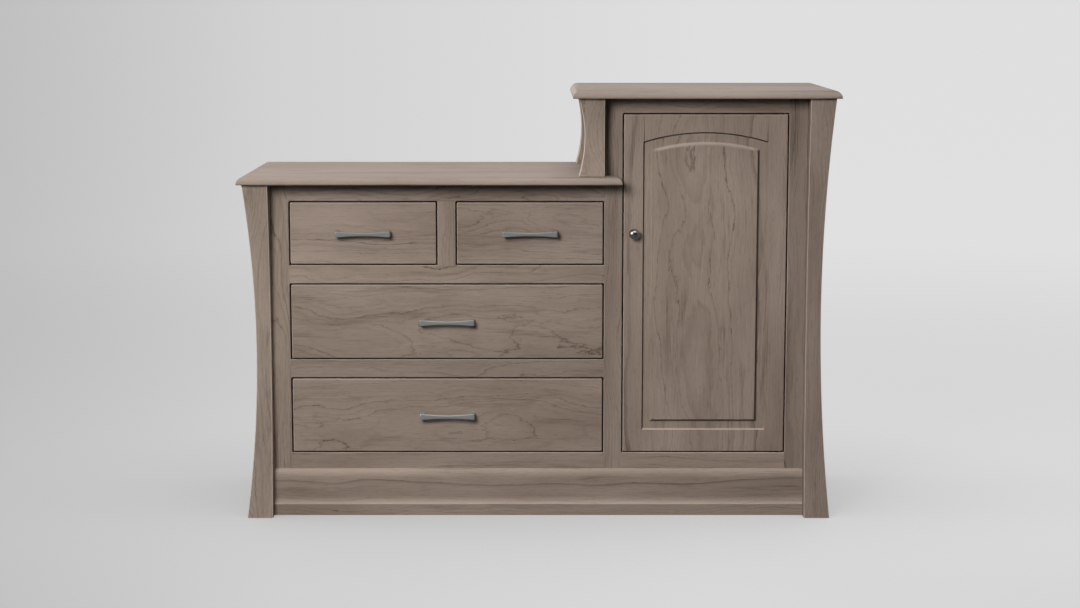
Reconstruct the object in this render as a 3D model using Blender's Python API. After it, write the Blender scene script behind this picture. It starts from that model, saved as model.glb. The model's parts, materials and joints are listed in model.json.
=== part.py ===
"""A two-level dresser: a low bank of four drawers and a taller cupboard with one raised-panel door.

Metres, +Z up. X runs along the front, left to right as one faces it, and -Y is the front.
The origin is on the floor, in the middle of the whole width and depth.
"""

import math

import bpy
import bmesh
from mathutils import Vector

# Widths that add up to the case, from left to right
POST_WIDTH = 0.065
STILE_WIDTH = 0.0464
DRAWER_BANK_WIDTH = 0.7972
DOOR_OPENING_WIDTH = 0.4178

# Heights that add up to the two tops, from the floor
BOTTOM_RAIL_TOP = 0.1589
DEEP_DRAWER_OPENING = 0.195
SHALLOW_DRAWER_OPENING = 0.1625
RAIL_HEIGHT = 0.047
LOW_TOP_RAIL_HEIGHT = 0.0466
TALL_TOP_RAIL_HEIGHT = 0.0394
STEP_HEIGHT = 0.2144
TOP_THICKNESS = 0.020

# Depths
CASE_DEPTH = 0.5035
POST_DEPTH = 0.065
FACE_SETBACK = 0.055
FRAME_THICKNESS = 0.020

# Sweep of the posts and overhang of the tops
POST_SWEEP = 0.027
UPPER_POST_SWEEP = 0.0145
POST_EASE = 0.0012
TOP_OVERHANG = 0.0119
TOP_FRONT_OVERHANG = 0.015
TALL_TOP_LEFT_OVERHANG = 0.0153
LIP_END_SETBACK = 0.003

# Boards of the case
PANEL_THICKNESS = 0.018
BACK_THICKNESS = 0.006
BACK_RECESS = 0.008
FRAME_BOTTOM = 0.060
HOUSING_DEPTH = 0.005
SHELF_THICKNESS = 0.018
SHELF_FRONT_GAP = 0.020
GUIDE_HEIGHT = 0.050

# Base moulding, measured out from the face that carries it
PLINTH_PROJECTION = 0.023
BASE_FACE_PROJECTION = 0.016
PLINTH_HEIGHT = 0.0295
COVE_HEIGHT = 0.0185
ROUND_START = 0.095
ROUND_HEIGHT = 0.023

# Drawers
FRONT_GAP = 0.003
FRONT_EASE = 0.0008
BOX_WALL = 0.012
BOX_HEADROOM = 0.030
BOX_BACK_GAP = 0.013
BOX_RUN_GAP = 0.0005
FLOOR_THICKNESS = 0.006
FLOOR_GROOVE_DEPTH = 0.006
FLOOR_RISE = 0.010

# Door
DOOR_GAP = 0.003
DOOR_STILE_WIDTH = 0.0512
DOOR_BOTTOM_RAIL = 0.0593
DOOR_TOP_RAIL = 0.0474
ARCH_RISE = 0.0231
STICKING = 0.004
PANEL_GROOVE_DEPTH = 0.009
PANEL_GROOVE_WIDTH = 0.006
PANEL_GROOVE_SETBACK = 0.0075
PANEL_SLOPE_WIDTH = 0.017
PANEL_SLOPE_RISE = 0.003
PANEL_STEP_WIDTH = 0.005
FIELD_SETBACK = 0.0006

# Pivot hinges of the door
PIVOT_INSET = 0.007
LEAF_TAIL = 0.034
LEAF_NOSE = 0.005
LEAF_WIDTH = 0.010
LEAF_THICKNESS = 0.0025
PIN_RADIUS = 0.003
PIN_CLEARANCE = 0.0003

# Pulls and knob
PULL_LENGTH = 0.1395
PULL_HOLE_SPACING = 0.128
PULL_PROJECTION = 0.028
PULL_BAR_THICKNESS = 0.007
PULL_END_HEIGHT = 0.0162
PULL_WAIST_HEIGHT = 0.0094
PULL_CORNER_RADIUS = 0.005
PULL_INNER_RADIUS = 0.007
PULL_EDGE = 0.0015
KNOB_DIAMETER = 0.027
KNOB_PROJECTION = 0.032
KNOB_NECK_RADIUS = 0.0055
KNOB_ROSETTE_RADIUS = 0.0085
KNOB_ROSETTE_THICKNESS = 0.002

# Gap between pieces that touch, and steps along the curves
SEAT = 0.0003
POST_STEPS = 16
UPPER_POST_STEPS = 10
EDGE_STEPS = 6
ARCH_STEPS = 16
PULL_CORNER_STEPS = 4
PULL_BAR_STEPS = 10
KNOB_STEPS = 10
TURNED_SIDES = 20
PIN_SIDES = 16

# Places along X
CASE_WIDTH = 2 * POST_WIDTH + 3 * STILE_WIDTH + DRAWER_BANK_WIDTH + DOOR_OPENING_WIDTH
HALF_WIDTH = CASE_WIDTH / 2
POST_IN_X = HALF_WIDTH - POST_WIDTH
BANK_LEFT_X = -POST_IN_X + STILE_WIDTH
BANK_RIGHT_X = BANK_LEFT_X + DRAWER_BANK_WIDTH
CENTRE_STILE_X = BANK_RIGHT_X + STILE_WIDTH
DOOR_RIGHT_X = CENTRE_STILE_X + DOOR_OPENING_WIDTH
MULLION_LEFT_X = (BANK_LEFT_X + BANK_RIGHT_X - STILE_WIDTH) / 2
MULLION_RIGHT_X = MULLION_LEFT_X + STILE_WIDTH
UPPER_POST_X = BANK_RIGHT_X - POST_WIDTH
PARTITION_RIGHT_X = BANK_RIGHT_X + PANEL_THICKNESS
BACK_SPLIT_X = BANK_RIGHT_X + PANEL_THICKNESS / 2

# Places along Y
FRONT_Y = (TOP_FRONT_OVERHANG - CASE_DEPTH) / 2
BACK_Y = FRONT_Y + CASE_DEPTH
FRAME_Y = FRONT_Y + FACE_SETBACK
FRAME_BACK_Y = FRAME_Y + FRAME_THICKNESS
BACK_PANEL_Y = BACK_Y - BACK_RECESS - BACK_THICKNESS
INSIDE_FRONT_Y = FRAME_BACK_Y + SEAT
INSIDE_BACK_Y = BACK_PANEL_Y - SEAT
TOP_FRONT_Y = FRONT_Y - TOP_FRONT_OVERHANG

# Places along Z
LOWER_RAIL_Z = BOTTOM_RAIL_TOP + DEEP_DRAWER_OPENING
MIDDLE_ROW_Z = LOWER_RAIL_Z + RAIL_HEIGHT
UPPER_RAIL_Z = MIDDLE_ROW_Z + DEEP_DRAWER_OPENING
TOP_ROW_Z = UPPER_RAIL_Z + RAIL_HEIGHT
LOW_TOP_RAIL_Z = TOP_ROW_Z + SHALLOW_DRAWER_OPENING
LOW_UNDER_Z = LOW_TOP_RAIL_Z + LOW_TOP_RAIL_HEIGHT
LOW_TOP_Z = LOW_UNDER_Z + TOP_THICKNESS
TALL_TOP_Z = LOW_TOP_Z + STEP_HEIGHT
TALL_UNDER_Z = TALL_TOP_Z - TOP_THICKNESS
DOOR_OPENING_TOP = TALL_UNDER_Z - TALL_TOP_RAIL_HEIGHT


def clear_scene():
    """Empties the scene, so that a second run gives the same objects."""
    for old in list(bpy.data.objects):
        bpy.data.objects.remove(old, do_unlink=True)


def make_finish(name, colour, roughness, metallic=0.0):
    """A plain Principled material."""
    finish = bpy.data.materials.new(name)
    finish.use_nodes = True
    shader = finish.node_tree.nodes["Principled BSDF"]
    shader.inputs["Base Color"].default_value = (*colour, 1.0)
    shader.inputs["Roughness"].default_value = roughness
    shader.inputs["Metallic"].default_value = metallic
    return finish


def make_pivot(name, place):
    """An empty on a joint's axis, to carry the pieces that move together."""
    pivot = bpy.data.objects.new(name, None)
    pivot.empty_display_size = 0.05
    pivot.location = place
    bpy.context.scene.collection.objects.link(pivot)
    return pivot


def make_piece(name, shape, finish, pivot=None):
    """Turns a bmesh drawn in the dresser's frame into a named object placed at its own middle."""
    bmesh.ops.recalc_face_normals(shape, faces=shape.faces)
    corners = [vert.co for vert in shape.verts]
    low = Vector([min(corner[axis] for corner in corners) for axis in range(3)])
    high = Vector([max(corner[axis] for corner in corners) for axis in range(3)])
    middle = (low + high) / 2
    bmesh.ops.translate(shape, verts=shape.verts, vec=-middle)
    mesh = bpy.data.meshes.new(name)
    shape.to_mesh(mesh)
    shape.free()
    mesh.materials.append(finish)
    piece = bpy.data.objects.new(name, mesh)
    piece.location = middle
    if pivot:
        piece.parent = pivot
        piece.location = middle - pivot.location
    bpy.context.scene.collection.objects.link(piece)
    return piece


def box_shape(low, high):
    """A cuboid between two corners."""
    outline = [(low[0], low[1]), (high[0], low[1]), (high[0], high[1]), (low[0], high[1])]
    return loft_shape([[Vector((x, y, z)) for x, y in outline] for z in (low[2], high[2])])


def loft_shape(rings, closed=False):
    """Skins rings of equally many points. Open ends are capped, and a closed loft joins its last ring to its first."""
    shape = bmesh.new()
    loops = [[shape.verts.new(point) for point in ring] for ring in rings]
    pairs = list(zip(loops, loops[1:]))
    if closed:
        pairs.append((loops[-1], loops[0]))
    else:
        shape.faces.new(loops[0])
        shape.faces.new(loops[-1])
    for near, far in pairs:
        for index in range(len(near)):
            after = (index + 1) % len(near)
            shape.faces.new((near[index], near[after], far[after], far[index]))
    return shape


def extrude_shape(outline, start, end, place):
    """Extrudes a flat outline. place(a, b, c) puts outline point (a, b) at depth c in the dresser's frame."""
    return loft_shape([[Vector(place(a, b, depth)) for a, b in outline] for depth in (start, end)])


def quarter_arc(centre, radius_a, radius_b, start, steps):
    """Points of a quarter ellipse from the angle start, in quarter turns."""
    angles = [(start + step / steps) * math.pi / 2 for step in range(steps + 1)]
    return [(centre[0] + radius_a * math.cos(angle), centre[1] + radius_b * math.sin(angle)) for angle in angles]


def ease_edges(piece, width):
    """A small chamfer on every edge of a board."""
    bevel = piece.modifiers.new("eased edges", "BEVEL")
    bevel.width = width
    bevel.segments = 1
    bevel.limit_method = "ANGLE"


def cut(piece, cutter, operation="DIFFERENCE"):
    """Cuts a hidden helper out of a piece, or joins it on."""
    cutter.hide_render = True
    cutter.display_type = "WIRE"
    boolean = piece.modifiers.new(cutter.name, "BOOLEAN")
    boolean.operation = operation
    boolean.object = cutter


def board(name, low, high, finish, pivot=None):
    """A plain board."""
    return make_piece(name, box_shape(low, high), finish, pivot)


def sweep_depth(part, sweep, height):
    """How far a swept face lies inside the chord of its arc, at a height part between 0 and height."""
    radius = (height * height / 4 + sweep * sweep) / (2 * sweep)
    from_middle = part - height / 2
    return math.sqrt(radius * radius - from_middle * from_middle) - (radius - sweep)


def swept_post(name, outer_x, side, front_y, bottom_z, top_z, sweep, front_swept, steps, finish):
    """A square post whose outer side, and front where it shows, is hollowed in a long arc.

    side is -1 where the outer face looks to -X and +1 where it looks to +X.
    """
    height = top_z - bottom_z
    inner_x = outer_x - side * (POST_WIDTH - SEAT)
    back_y = front_y + POST_DEPTH
    rings = []
    for step in range(steps + 1):
        rise = height * step / steps
        hollow = sweep_depth(rise, sweep, height)
        x = outer_x - side * hollow
        y = front_y + hollow if front_swept else front_y
        ease = POST_EASE
        corners = [
            (x, y + ease), (x, back_y - ease), (x - side * ease, back_y), (inner_x + side * ease, back_y),
            (inner_x, back_y - ease), (inner_x, y + ease), (inner_x + side * ease, y), (x - side * ease, y),
        ]
        rings.append([Vector((a, b, bottom_z + rise)) for a, b in corners])
    return make_piece(name, loft_shape(rings), finish)


def make_posts(wood):
    """Four corner posts from floor to top, and two short ones that stand on the low top."""
    rear_y = BACK_Y - POST_DEPTH
    low_z = LOW_UNDER_Z - SEAT
    tall_z = TALL_UNDER_Z - SEAT
    upper_z = LOW_TOP_Z + SEAT
    swept_post("post_front_left", -HALF_WIDTH, -1, FRONT_Y, 0, low_z, POST_SWEEP, True, POST_STEPS, wood)
    swept_post("post_front_right", HALF_WIDTH, 1, FRONT_Y, 0, tall_z, POST_SWEEP, True, POST_STEPS, wood)
    swept_post("post_rear_left", -HALF_WIDTH, -1, rear_y, 0, low_z, POST_SWEEP, False, POST_STEPS, wood)
    swept_post("post_rear_right", HALF_WIDTH, 1, rear_y, 0, tall_z, POST_SWEEP, False, POST_STEPS, wood)
    for name, y, front_swept in (("post_upper_front", FRONT_Y, True), ("post_upper_rear", rear_y, False)):
        swept_post(
            name, UPPER_POST_X, -1, y, upper_z, tall_z, UPPER_POST_SWEEP, front_swept, UPPER_POST_STEPS, wood
        )


def rounded_top(name, corners, under_z, finish):
    """A top board whose shown edges are a full quarter round, widest at the underside.

    A corner is (x, y, dx, dy): dx and dy say which way the rounding draws it in.
    """
    rings = []
    for step in range(EDGE_STEPS + 1):
        angle = math.pi / 2 * step / EDGE_STEPS
        inset = TOP_THICKNESS * (1 - math.cos(angle))
        z = under_z + TOP_THICKNESS * math.sin(angle)
        rings.append([Vector((x + dx * inset, y + dy * inset, z)) for x, y, dx, dy in corners])
    return make_piece(name, loft_shape(rings), finish)


def make_tops(wood):
    """The low top runs past the front of the centre stile as a lip, and is notched round that stile."""
    left_x = -HALF_WIDTH - TOP_OVERHANG
    right_x = HALF_WIDTH + TOP_OVERHANG
    lip_x = CENTRE_STILE_X - LIP_END_SETBACK
    notch_x = BANK_RIGHT_X - SEAT
    low_corners = [
        (left_x, TOP_FRONT_Y, 1, 1), (lip_x, TOP_FRONT_Y, -1, 1), (lip_x, FRAME_Y - SEAT, -1, 0),
        (notch_x, FRAME_Y - SEAT, 0, 0), (notch_x, INSIDE_FRONT_Y, 0, 0), (PARTITION_RIGHT_X, INSIDE_FRONT_Y, 0, 0),
        (PARTITION_RIGHT_X, INSIDE_BACK_Y, 0, 0), (notch_x, INSIDE_BACK_Y, 0, 0), (notch_x, BACK_Y, 0, 0),
        (left_x, BACK_Y, 1, 0),
    ]
    rounded_top("top_low", low_corners, LOW_UNDER_Z, wood)
    tall_left_x = UPPER_POST_X - TALL_TOP_LEFT_OVERHANG
    tall_corners = [
        (tall_left_x, TOP_FRONT_Y, 1, 1), (right_x, TOP_FRONT_Y, -1, 1),
        (right_x, BACK_Y, -1, 0), (tall_left_x, BACK_Y, 1, 0),
    ]
    rounded_top("top_tall", tall_corners, TALL_UNDER_Z, wood)


def make_side_panels(wood):
    """Plain panels between the posts, flush with the posts' inner faces."""
    front_y = FRONT_Y + POST_DEPTH + SEAT
    back_y = BACK_Y - POST_DEPTH - SEAT
    outer_x = POST_IN_X + PANEL_THICKNESS
    board(
        "side_panel_left", (-outer_x, front_y, FRAME_BOTTOM), (-POST_IN_X, back_y, LOW_UNDER_Z - SEAT), wood
    )
    board(
        "side_panel_right", (POST_IN_X, front_y, FRAME_BOTTOM), (outer_x, back_y, TALL_UNDER_Z - SEAT), wood
    )
    upper_right_x = BANK_RIGHT_X - SEAT
    board(
        "side_panel_upper", (upper_right_x - PANEL_THICKNESS, front_y, LOW_TOP_Z + SEAT),
        (upper_right_x, back_y, TALL_UNDER_Z - SEAT), wood
    )


def housed_wall(name, left_x, right_x, housings, finish):
    """An upright board from front frame to back, with grooves across it that take the ends of shelves.

    A housing is (side, bottom z, top z), with side -1 for the left face and +1 for the right.
    """
    low_z = BOTTOM_RAIL_TOP + SEAT
    high_z = LOW_UNDER_Z - SEAT
    outline = [(right_x, low_z)]
    for side, z0, z1 in sorted(housings, key=lambda housing: housing[1]):
        if side > 0:
            outline += [
                (right_x, z0), (right_x - HOUSING_DEPTH, z0), (right_x - HOUSING_DEPTH, z1), (right_x, z1)
            ]
    outline += [(right_x, high_z), (left_x, high_z)]
    for side, z0, z1 in sorted(housings, key=lambda housing: -housing[1]):
        if side < 0:
            outline += [
                (left_x, z1), (left_x + HOUSING_DEPTH, z1), (left_x + HOUSING_DEPTH, z0), (left_x, z0)
            ]
    outline.append((left_x, low_z))
    shape = extrude_shape(outline, INSIDE_FRONT_Y, INSIDE_BACK_Y, lambda x, z, y: (x, y, z))
    return make_piece(name, shape, finish)


def make_inside(inside_wood):
    """The bottom, the two walls beside the drawers, the shelves under the drawers and those behind the door."""
    board(
        "bottom_panel", (-POST_IN_X + SEAT, INSIDE_FRONT_Y, BOTTOM_RAIL_TOP - PANEL_THICKNESS),
        (POST_IN_X - SEAT, INSIDE_BACK_Y, BOTTOM_RAIL_TOP), inside_wood
    )
    drawer_shelves = [("drawer_shelf_lower", MIDDLE_ROW_Z), ("drawer_shelf_upper", TOP_ROW_Z)]
    space = (DOOR_OPENING_TOP - BOTTOM_RAIL_TOP) / 3
    cupboard_shelves = [("shelf_lower", BOTTOM_RAIL_TOP + space), ("shelf_upper", BOTTOM_RAIL_TOP + 2 * space)]
    drawer_housings = [(z - PANEL_THICKNESS - SEAT, z + SEAT) for _, z in drawer_shelves]
    cupboard_housings = [(z - SHELF_THICKNESS - SEAT, z + SEAT) for _, z in cupboard_shelves]
    partition_housings = [(-1, *span) for span in drawer_housings] + [(1, *span) for span in cupboard_housings]
    housed_wall("partition", BANK_RIGHT_X, PARTITION_RIGHT_X, partition_housings, inside_wood)
    inner_housings = [(1, *span) for span in drawer_housings]
    housed_wall("inner_side", BANK_LEFT_X - PANEL_THICKNESS, BANK_LEFT_X, inner_housings, inside_wood)
    housed = HOUSING_DEPTH - SEAT
    for name, z in drawer_shelves:
        board(
            name, (BANK_LEFT_X - housed, INSIDE_FRONT_Y, z - PANEL_THICKNESS),
            (BANK_RIGHT_X + housed, INSIDE_BACK_Y, z), inside_wood
        )
    for name, z in cupboard_shelves:
        board(
            name, (PARTITION_RIGHT_X - housed, FRAME_BACK_Y + SHELF_FRONT_GAP, z - SHELF_THICKNESS),
            (POST_IN_X - SEAT, INSIDE_BACK_Y, z), inside_wood
        )
    board(
        "centre_guide", (MULLION_LEFT_X, INSIDE_FRONT_Y, TOP_ROW_Z + SEAT),
        (MULLION_RIGHT_X, INSIDE_BACK_Y, TOP_ROW_Z + GUIDE_HEIGHT), inside_wood
    )


def make_backs(back_wood):
    """Two thin back panels that meet behind the partition."""
    left_x = -POST_IN_X + SEAT
    right_x = POST_IN_X - SEAT
    board(
        "back_panel_low", (left_x, BACK_PANEL_Y, FRAME_BOTTOM),
        (BACK_SPLIT_X - SEAT, BACK_PANEL_Y + BACK_THICKNESS, LOW_UNDER_Z - SEAT), back_wood
    )
    low_x = BACK_SPLIT_X + SEAT
    upper_x = BANK_RIGHT_X + SEAT
    outline = [
        (low_x, FRAME_BOTTOM), (right_x, FRAME_BOTTOM), (right_x, TALL_UNDER_Z - SEAT),
        (upper_x, TALL_UNDER_Z - SEAT), (upper_x, LOW_UNDER_Z + SEAT), (low_x, LOW_UNDER_Z + SEAT),
    ]
    shape = extrude_shape(outline, BACK_PANEL_Y, BACK_PANEL_Y + BACK_THICKNESS, lambda x, z, y: (x, y, z))
    make_piece("back_panel_tall", shape, back_wood)


def frame_piece(name, x0, x1, z0, z1, finish):
    """One stile or rail of the face frame."""
    return board(name, (x0, FRAME_Y, z0), (x1, FRAME_BACK_Y, z1), finish)


def make_face_frame(wood):
    """Stiles run full height, and the rails are fitted between them."""
    low_z = LOW_UNDER_Z - SEAT
    tall_z = TALL_UNDER_Z - SEAT
    frame_piece("stile_left", -POST_IN_X + SEAT, BANK_LEFT_X, FRAME_BOTTOM, low_z, wood)
    frame_piece("stile_centre", BANK_RIGHT_X, CENTRE_STILE_X, FRAME_BOTTOM, tall_z, wood)
    frame_piece("stile_right", DOOR_RIGHT_X, POST_IN_X - SEAT, FRAME_BOTTOM, tall_z, wood)
    rail_left = BANK_LEFT_X + SEAT
    rail_right = BANK_RIGHT_X - SEAT
    frame_piece("rail_bottom_low", rail_left, rail_right, FRAME_BOTTOM, BOTTOM_RAIL_TOP, wood)
    frame_piece("rail_lower", rail_left, rail_right, LOWER_RAIL_Z, MIDDLE_ROW_Z, wood)
    frame_piece("rail_upper", rail_left, rail_right, UPPER_RAIL_Z, TOP_ROW_Z, wood)
    frame_piece("rail_top_low", rail_left, rail_right, LOW_TOP_RAIL_Z, low_z, wood)
    frame_piece("mullion", MULLION_LEFT_X, MULLION_RIGHT_X, TOP_ROW_Z + SEAT, LOW_TOP_RAIL_Z - SEAT, wood)
    door_left = CENTRE_STILE_X + SEAT
    door_right = DOOR_RIGHT_X - SEAT
    bottom_rail = frame_piece("rail_bottom_tall", door_left, door_right, FRAME_BOTTOM, BOTTOM_RAIL_TOP, wood)
    top_rail = frame_piece("rail_top_tall", door_left, door_right, DOOR_OPENING_TOP, tall_z, wood)
    cut_leaf_seat(bottom_rail, BOTTOM_RAIL_TOP, -1, wood)
    cut_leaf_seat(top_rail, DOOR_OPENING_TOP, 1, wood)


def base_profile():
    """Outline of the base moulding, as (distance out, height): plinth, hollow, flat face and round top."""
    hollow_centre = (PLINTH_PROJECTION, PLINTH_HEIGHT + COVE_HEIGHT)
    hollow_depth = PLINTH_PROJECTION - BASE_FACE_PROJECTION
    hollow = quarter_arc(hollow_centre, hollow_depth, COVE_HEIGHT, 2, EDGE_STEPS)
    round_top = quarter_arc((SEAT, ROUND_START), BASE_FACE_PROJECTION - SEAT, ROUND_HEIGHT, 0, EDGE_STEPS)
    return [(SEAT, 0), (PLINTH_PROJECTION, 0)] + hollow[::-1] + round_top


def make_base(wood):
    """The same moulding between the posts at the front and at both sides."""
    profile = base_profile()
    front_end = POST_IN_X - SEAT
    side_face = POST_IN_X + PANEL_THICKNESS
    side_start = FRONT_Y + POST_DEPTH + SEAT
    side_end = BACK_Y - POST_DEPTH - SEAT
    front = extrude_shape(profile, -front_end, front_end, lambda out, z, x: (x, FRAME_Y - out, z))
    left = extrude_shape(profile, side_start, side_end, lambda out, z, y: (-side_face - out, y, z))
    right = extrude_shape(profile, side_start, side_end, lambda out, z, y: (side_face + out, y, z))
    make_piece("base_front", front, wood)
    make_piece("base_left", left, wood)
    make_piece("base_right", right, wood)


def pull_outline():
    """Matching points along the outer and inner edge of the pull, seen from above, from its left foot to its right."""
    half = PULL_LENGTH / 2
    inner_half = PULL_HOLE_SPACING - half
    inner_out = PULL_PROJECTION - PULL_BAR_THICKNESS
    outer = [(-half, 0.0)]
    inner = [(-inner_half, 0.0)]
    outer_centre = (-half + PULL_CORNER_RADIUS, PULL_PROJECTION - PULL_CORNER_RADIUS)
    inner_centre = (-inner_half + PULL_INNER_RADIUS, inner_out - PULL_INNER_RADIUS)
    for step in range(PULL_CORNER_STEPS + 1):
        angle = math.pi * (1 - step / PULL_CORNER_STEPS / 2)
        turn = (math.cos(angle), math.sin(angle))
        outer.append(tuple(c + PULL_CORNER_RADIUS * t for c, t in zip(outer_centre, turn)))
        inner.append(tuple(c + PULL_INNER_RADIUS * t for c, t in zip(inner_centre, turn)))
    for step in range(1, PULL_BAR_STEPS):
        share = step / PULL_BAR_STEPS
        outer.append((outer_centre[0] * (1 - 2 * share), PULL_PROJECTION))
        inner.append((inner_centre[0] * (1 - 2 * share), inner_out))
    corner_count = PULL_CORNER_STEPS + 2
    outer += [(-x, y) for x, y in outer[corner_count - 1::-1]]
    inner += [(-x, y) for x, y in inner[corner_count - 1::-1]]
    return outer, inner


def make_pull(name, centre_x, centre_z, finish, pivot):
    """A bar pull, drawn in at its middle, with both ends turned back to the drawer front."""
    rings = []
    for outer, inner in zip(*pull_outline()):
        waist_share = 1 - (2 * outer[0] / PULL_LENGTH) ** 2
        height = PULL_END_HEIGHT + (PULL_WAIST_HEIGHT - PULL_END_HEIGHT) * waist_share
        thickness = math.dist(outer, inner)
        ring = []
        for level, depth in (
            (0.5, PULL_EDGE), (0.5, thickness - PULL_EDGE), (0.5 - PULL_EDGE / height, thickness),
            (PULL_EDGE / height - 0.5, thickness), (-0.5, thickness - PULL_EDGE), (-0.5, PULL_EDGE),
            (PULL_EDGE / height - 0.5, 0), (0.5 - PULL_EDGE / height, 0),
        ):
            share = depth / thickness
            x = outer[0] + (inner[0] - outer[0]) * share
            out = outer[1] + (inner[1] - outer[1]) * share
            ring.append(Vector((centre_x + x, FRAME_Y - SEAT - out, centre_z + level * height)))
        rings.append(ring)
    return make_piece(name, loft_shape(rings), finish, pivot)


def make_drawer(label, x0, x1, z0, opening_height, wood, box_wood, metal):
    """One inset drawer: front, four-sided box, floor in the box's groove, and pull."""
    centre_x = (x0 + x1) / 2
    centre_z = z0 + opening_height / 2
    slide = make_pivot(f"drawer_{label}_slide", (centre_x, FRAME_Y, centre_z))
    front = board(
        f"drawer_front_{label}", (x0 + FRONT_GAP, FRAME_Y, z0 + FRONT_GAP),
        (x1 - FRONT_GAP, FRAME_BACK_Y, z0 + opening_height - FRONT_GAP), wood, slide
    )
    ease_edges(front, FRONT_EASE)

    low = (x0 + FRONT_GAP, INSIDE_FRONT_Y)
    high = (x1 - FRONT_GAP, INSIDE_BACK_Y - BOX_BACK_GAP)
    box_z = z0 + BOX_RUN_GAP
    box_top = z0 + opening_height - BOX_HEADROOM
    groove_z = box_z + FLOOR_RISE
    groove_in = BOX_WALL - FLOOR_GROOVE_DEPTH
    section = [
        (0, box_z), (0, box_top), (BOX_WALL, box_top), (BOX_WALL, groove_z + FLOOR_THICKNESS + SEAT),
        (groove_in, groove_z + FLOOR_THICKNESS + SEAT), (groove_in, groove_z), (BOX_WALL, groove_z),
        (BOX_WALL, box_z),
    ]
    corners = [(low[0], low[1], 1, 1), (high[0], low[1], -1, 1), (high[0], high[1], -1, -1), (low[0], high[1], 1, -1)]
    rings = [[Vector((x + dx * inward, y + dy * inward, z)) for inward, z in section] for x, y, dx, dy in corners]
    make_piece(f"drawer_box_{label}", loft_shape(rings, closed=True), box_wood, slide)

    reach = groove_in + SEAT
    board(
        f"drawer_floor_{label}", (low[0] + reach, low[1] + reach, groove_z + SEAT),
        (high[0] - reach, high[1] - reach, groove_z + FLOOR_THICKNESS), box_wood, slide
    )
    make_pull(f"pull_{label}", centre_x, centre_z, metal, slide)


def make_drawers(wood, box_wood, metal):
    """Two small drawers over two wide ones."""
    row = (TOP_ROW_Z, SHALLOW_DRAWER_OPENING)
    make_drawer("top_left", BANK_LEFT_X, MULLION_LEFT_X, *row, wood, box_wood, metal)
    make_drawer("top_right", MULLION_RIGHT_X, BANK_RIGHT_X, *row, wood, box_wood, metal)
    for label, z in (("middle", MIDDLE_ROW_Z), ("bottom", BOTTOM_RAIL_TOP)):
        make_drawer(label, BANK_LEFT_X, BANK_RIGHT_X, z, DEEP_DRAWER_OPENING, wood, box_wood, metal)


# The door's outer edges, its panel opening and its turning axis
DOOR_X = (CENTRE_STILE_X + DOOR_GAP, DOOR_RIGHT_X - DOOR_GAP)
DOOR_Z = (BOTTOM_RAIL_TOP + DOOR_GAP, DOOR_OPENING_TOP - DOOR_GAP)
WINDOW_X = (DOOR_X[0] + DOOR_STILE_WIDTH, DOOR_X[1] - DOOR_STILE_WIDTH)
WINDOW_Z = (DOOR_Z[0] + DOOR_BOTTOM_RAIL, DOOR_Z[1] - DOOR_TOP_RAIL)
PIVOT = (DOOR_X[1] - PIVOT_INSET, FRAME_Y + PIVOT_INSET)


def window_ring(outset, y):
    """The arched outline of the panel opening, moved outwards by outset, at one depth."""
    half = (WINDOW_X[1] - WINDOW_X[0]) / 2
    centre_x = (WINDOW_X[0] + WINDOW_X[1]) / 2
    radius = (half * half + ARCH_RISE * ARCH_RISE) / (2 * ARCH_RISE)
    centre_z = WINDOW_Z[1] - radius
    reach = half + outset
    spread = math.asin(reach / (radius + outset))
    ring = [(-reach, WINDOW_Z[0] - outset), (reach, WINDOW_Z[0] - outset)]
    for step in range(ARCH_STEPS + 1):
        angle = spread * (1 - 2 * step / ARCH_STEPS)
        ring.append(((radius + outset) * math.sin(angle), centre_z + (radius + outset) * math.cos(angle)))
    return [Vector((centre_x + x, y, z)) for x, z in ring]


def window_cutter(finish):
    """What is cut from stiles and rails: the opening, its bevelled front edge, and the groove that holds the panel."""
    beyond = 0.001
    groove_front = FRAME_Y + PANEL_GROOVE_SETBACK
    groove_back = groove_front + PANEL_GROOVE_WIDTH
    stations = [
        (STICKING + beyond, FRAME_Y - beyond), (SEAT, FRAME_Y + STICKING - SEAT), (SEAT, groove_front),
        (PANEL_GROOVE_DEPTH, groove_front), (PANEL_GROOVE_DEPTH, groove_back), (SEAT, groove_back),
        (SEAT, FRAME_BACK_Y + beyond),
    ]
    return make_piece("window_cutter", loft_shape([window_ring(*station) for station in stations]), finish)


def leaf_corners(face_z, into):
    """The two corners of a hinge leaf let into a face at height face_z. into is +1 where the wood is above the face."""
    far_z = face_z + into * LEAF_THICKNESS
    low = (PIVOT[0] - LEAF_TAIL, PIVOT[1] - LEAF_WIDTH / 2, min(face_z, far_z))
    high = (PIVOT[0] + LEAF_NOSE, PIVOT[1] + LEAF_WIDTH / 2, max(face_z, far_z))
    return low, high


def cut_leaf_seat(piece, face_z, into, finish):
    """The shallow recess that takes a hinge leaf, open at the face."""
    low, high = leaf_corners(face_z, into)
    open_z = face_z - into * LEAF_THICKNESS
    deep_z = face_z + into * (LEAF_THICKNESS + SEAT)
    low = (low[0] - SEAT, low[1] - SEAT, min(open_z, deep_z))
    high = (high[0] + SEAT, high[1] + SEAT, max(open_z, deep_z))
    cut(piece, board(f"{piece.name}_leaf_seat_{face_z:.3f}", low, high, finish))


def pin_shape(radius, z0, z1):
    """An upright cylinder on the hinge axis."""
    turns = [2 * math.pi * side / PIN_SIDES for side in range(PIN_SIDES)]
    outline = [(PIVOT[0] + radius * math.cos(turn), PIVOT[1] + radius * math.sin(turn)) for turn in turns]
    return extrude_shape(outline, min(z0, z1), max(z0, z1), lambda x, y, z: (x, y, z))


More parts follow.
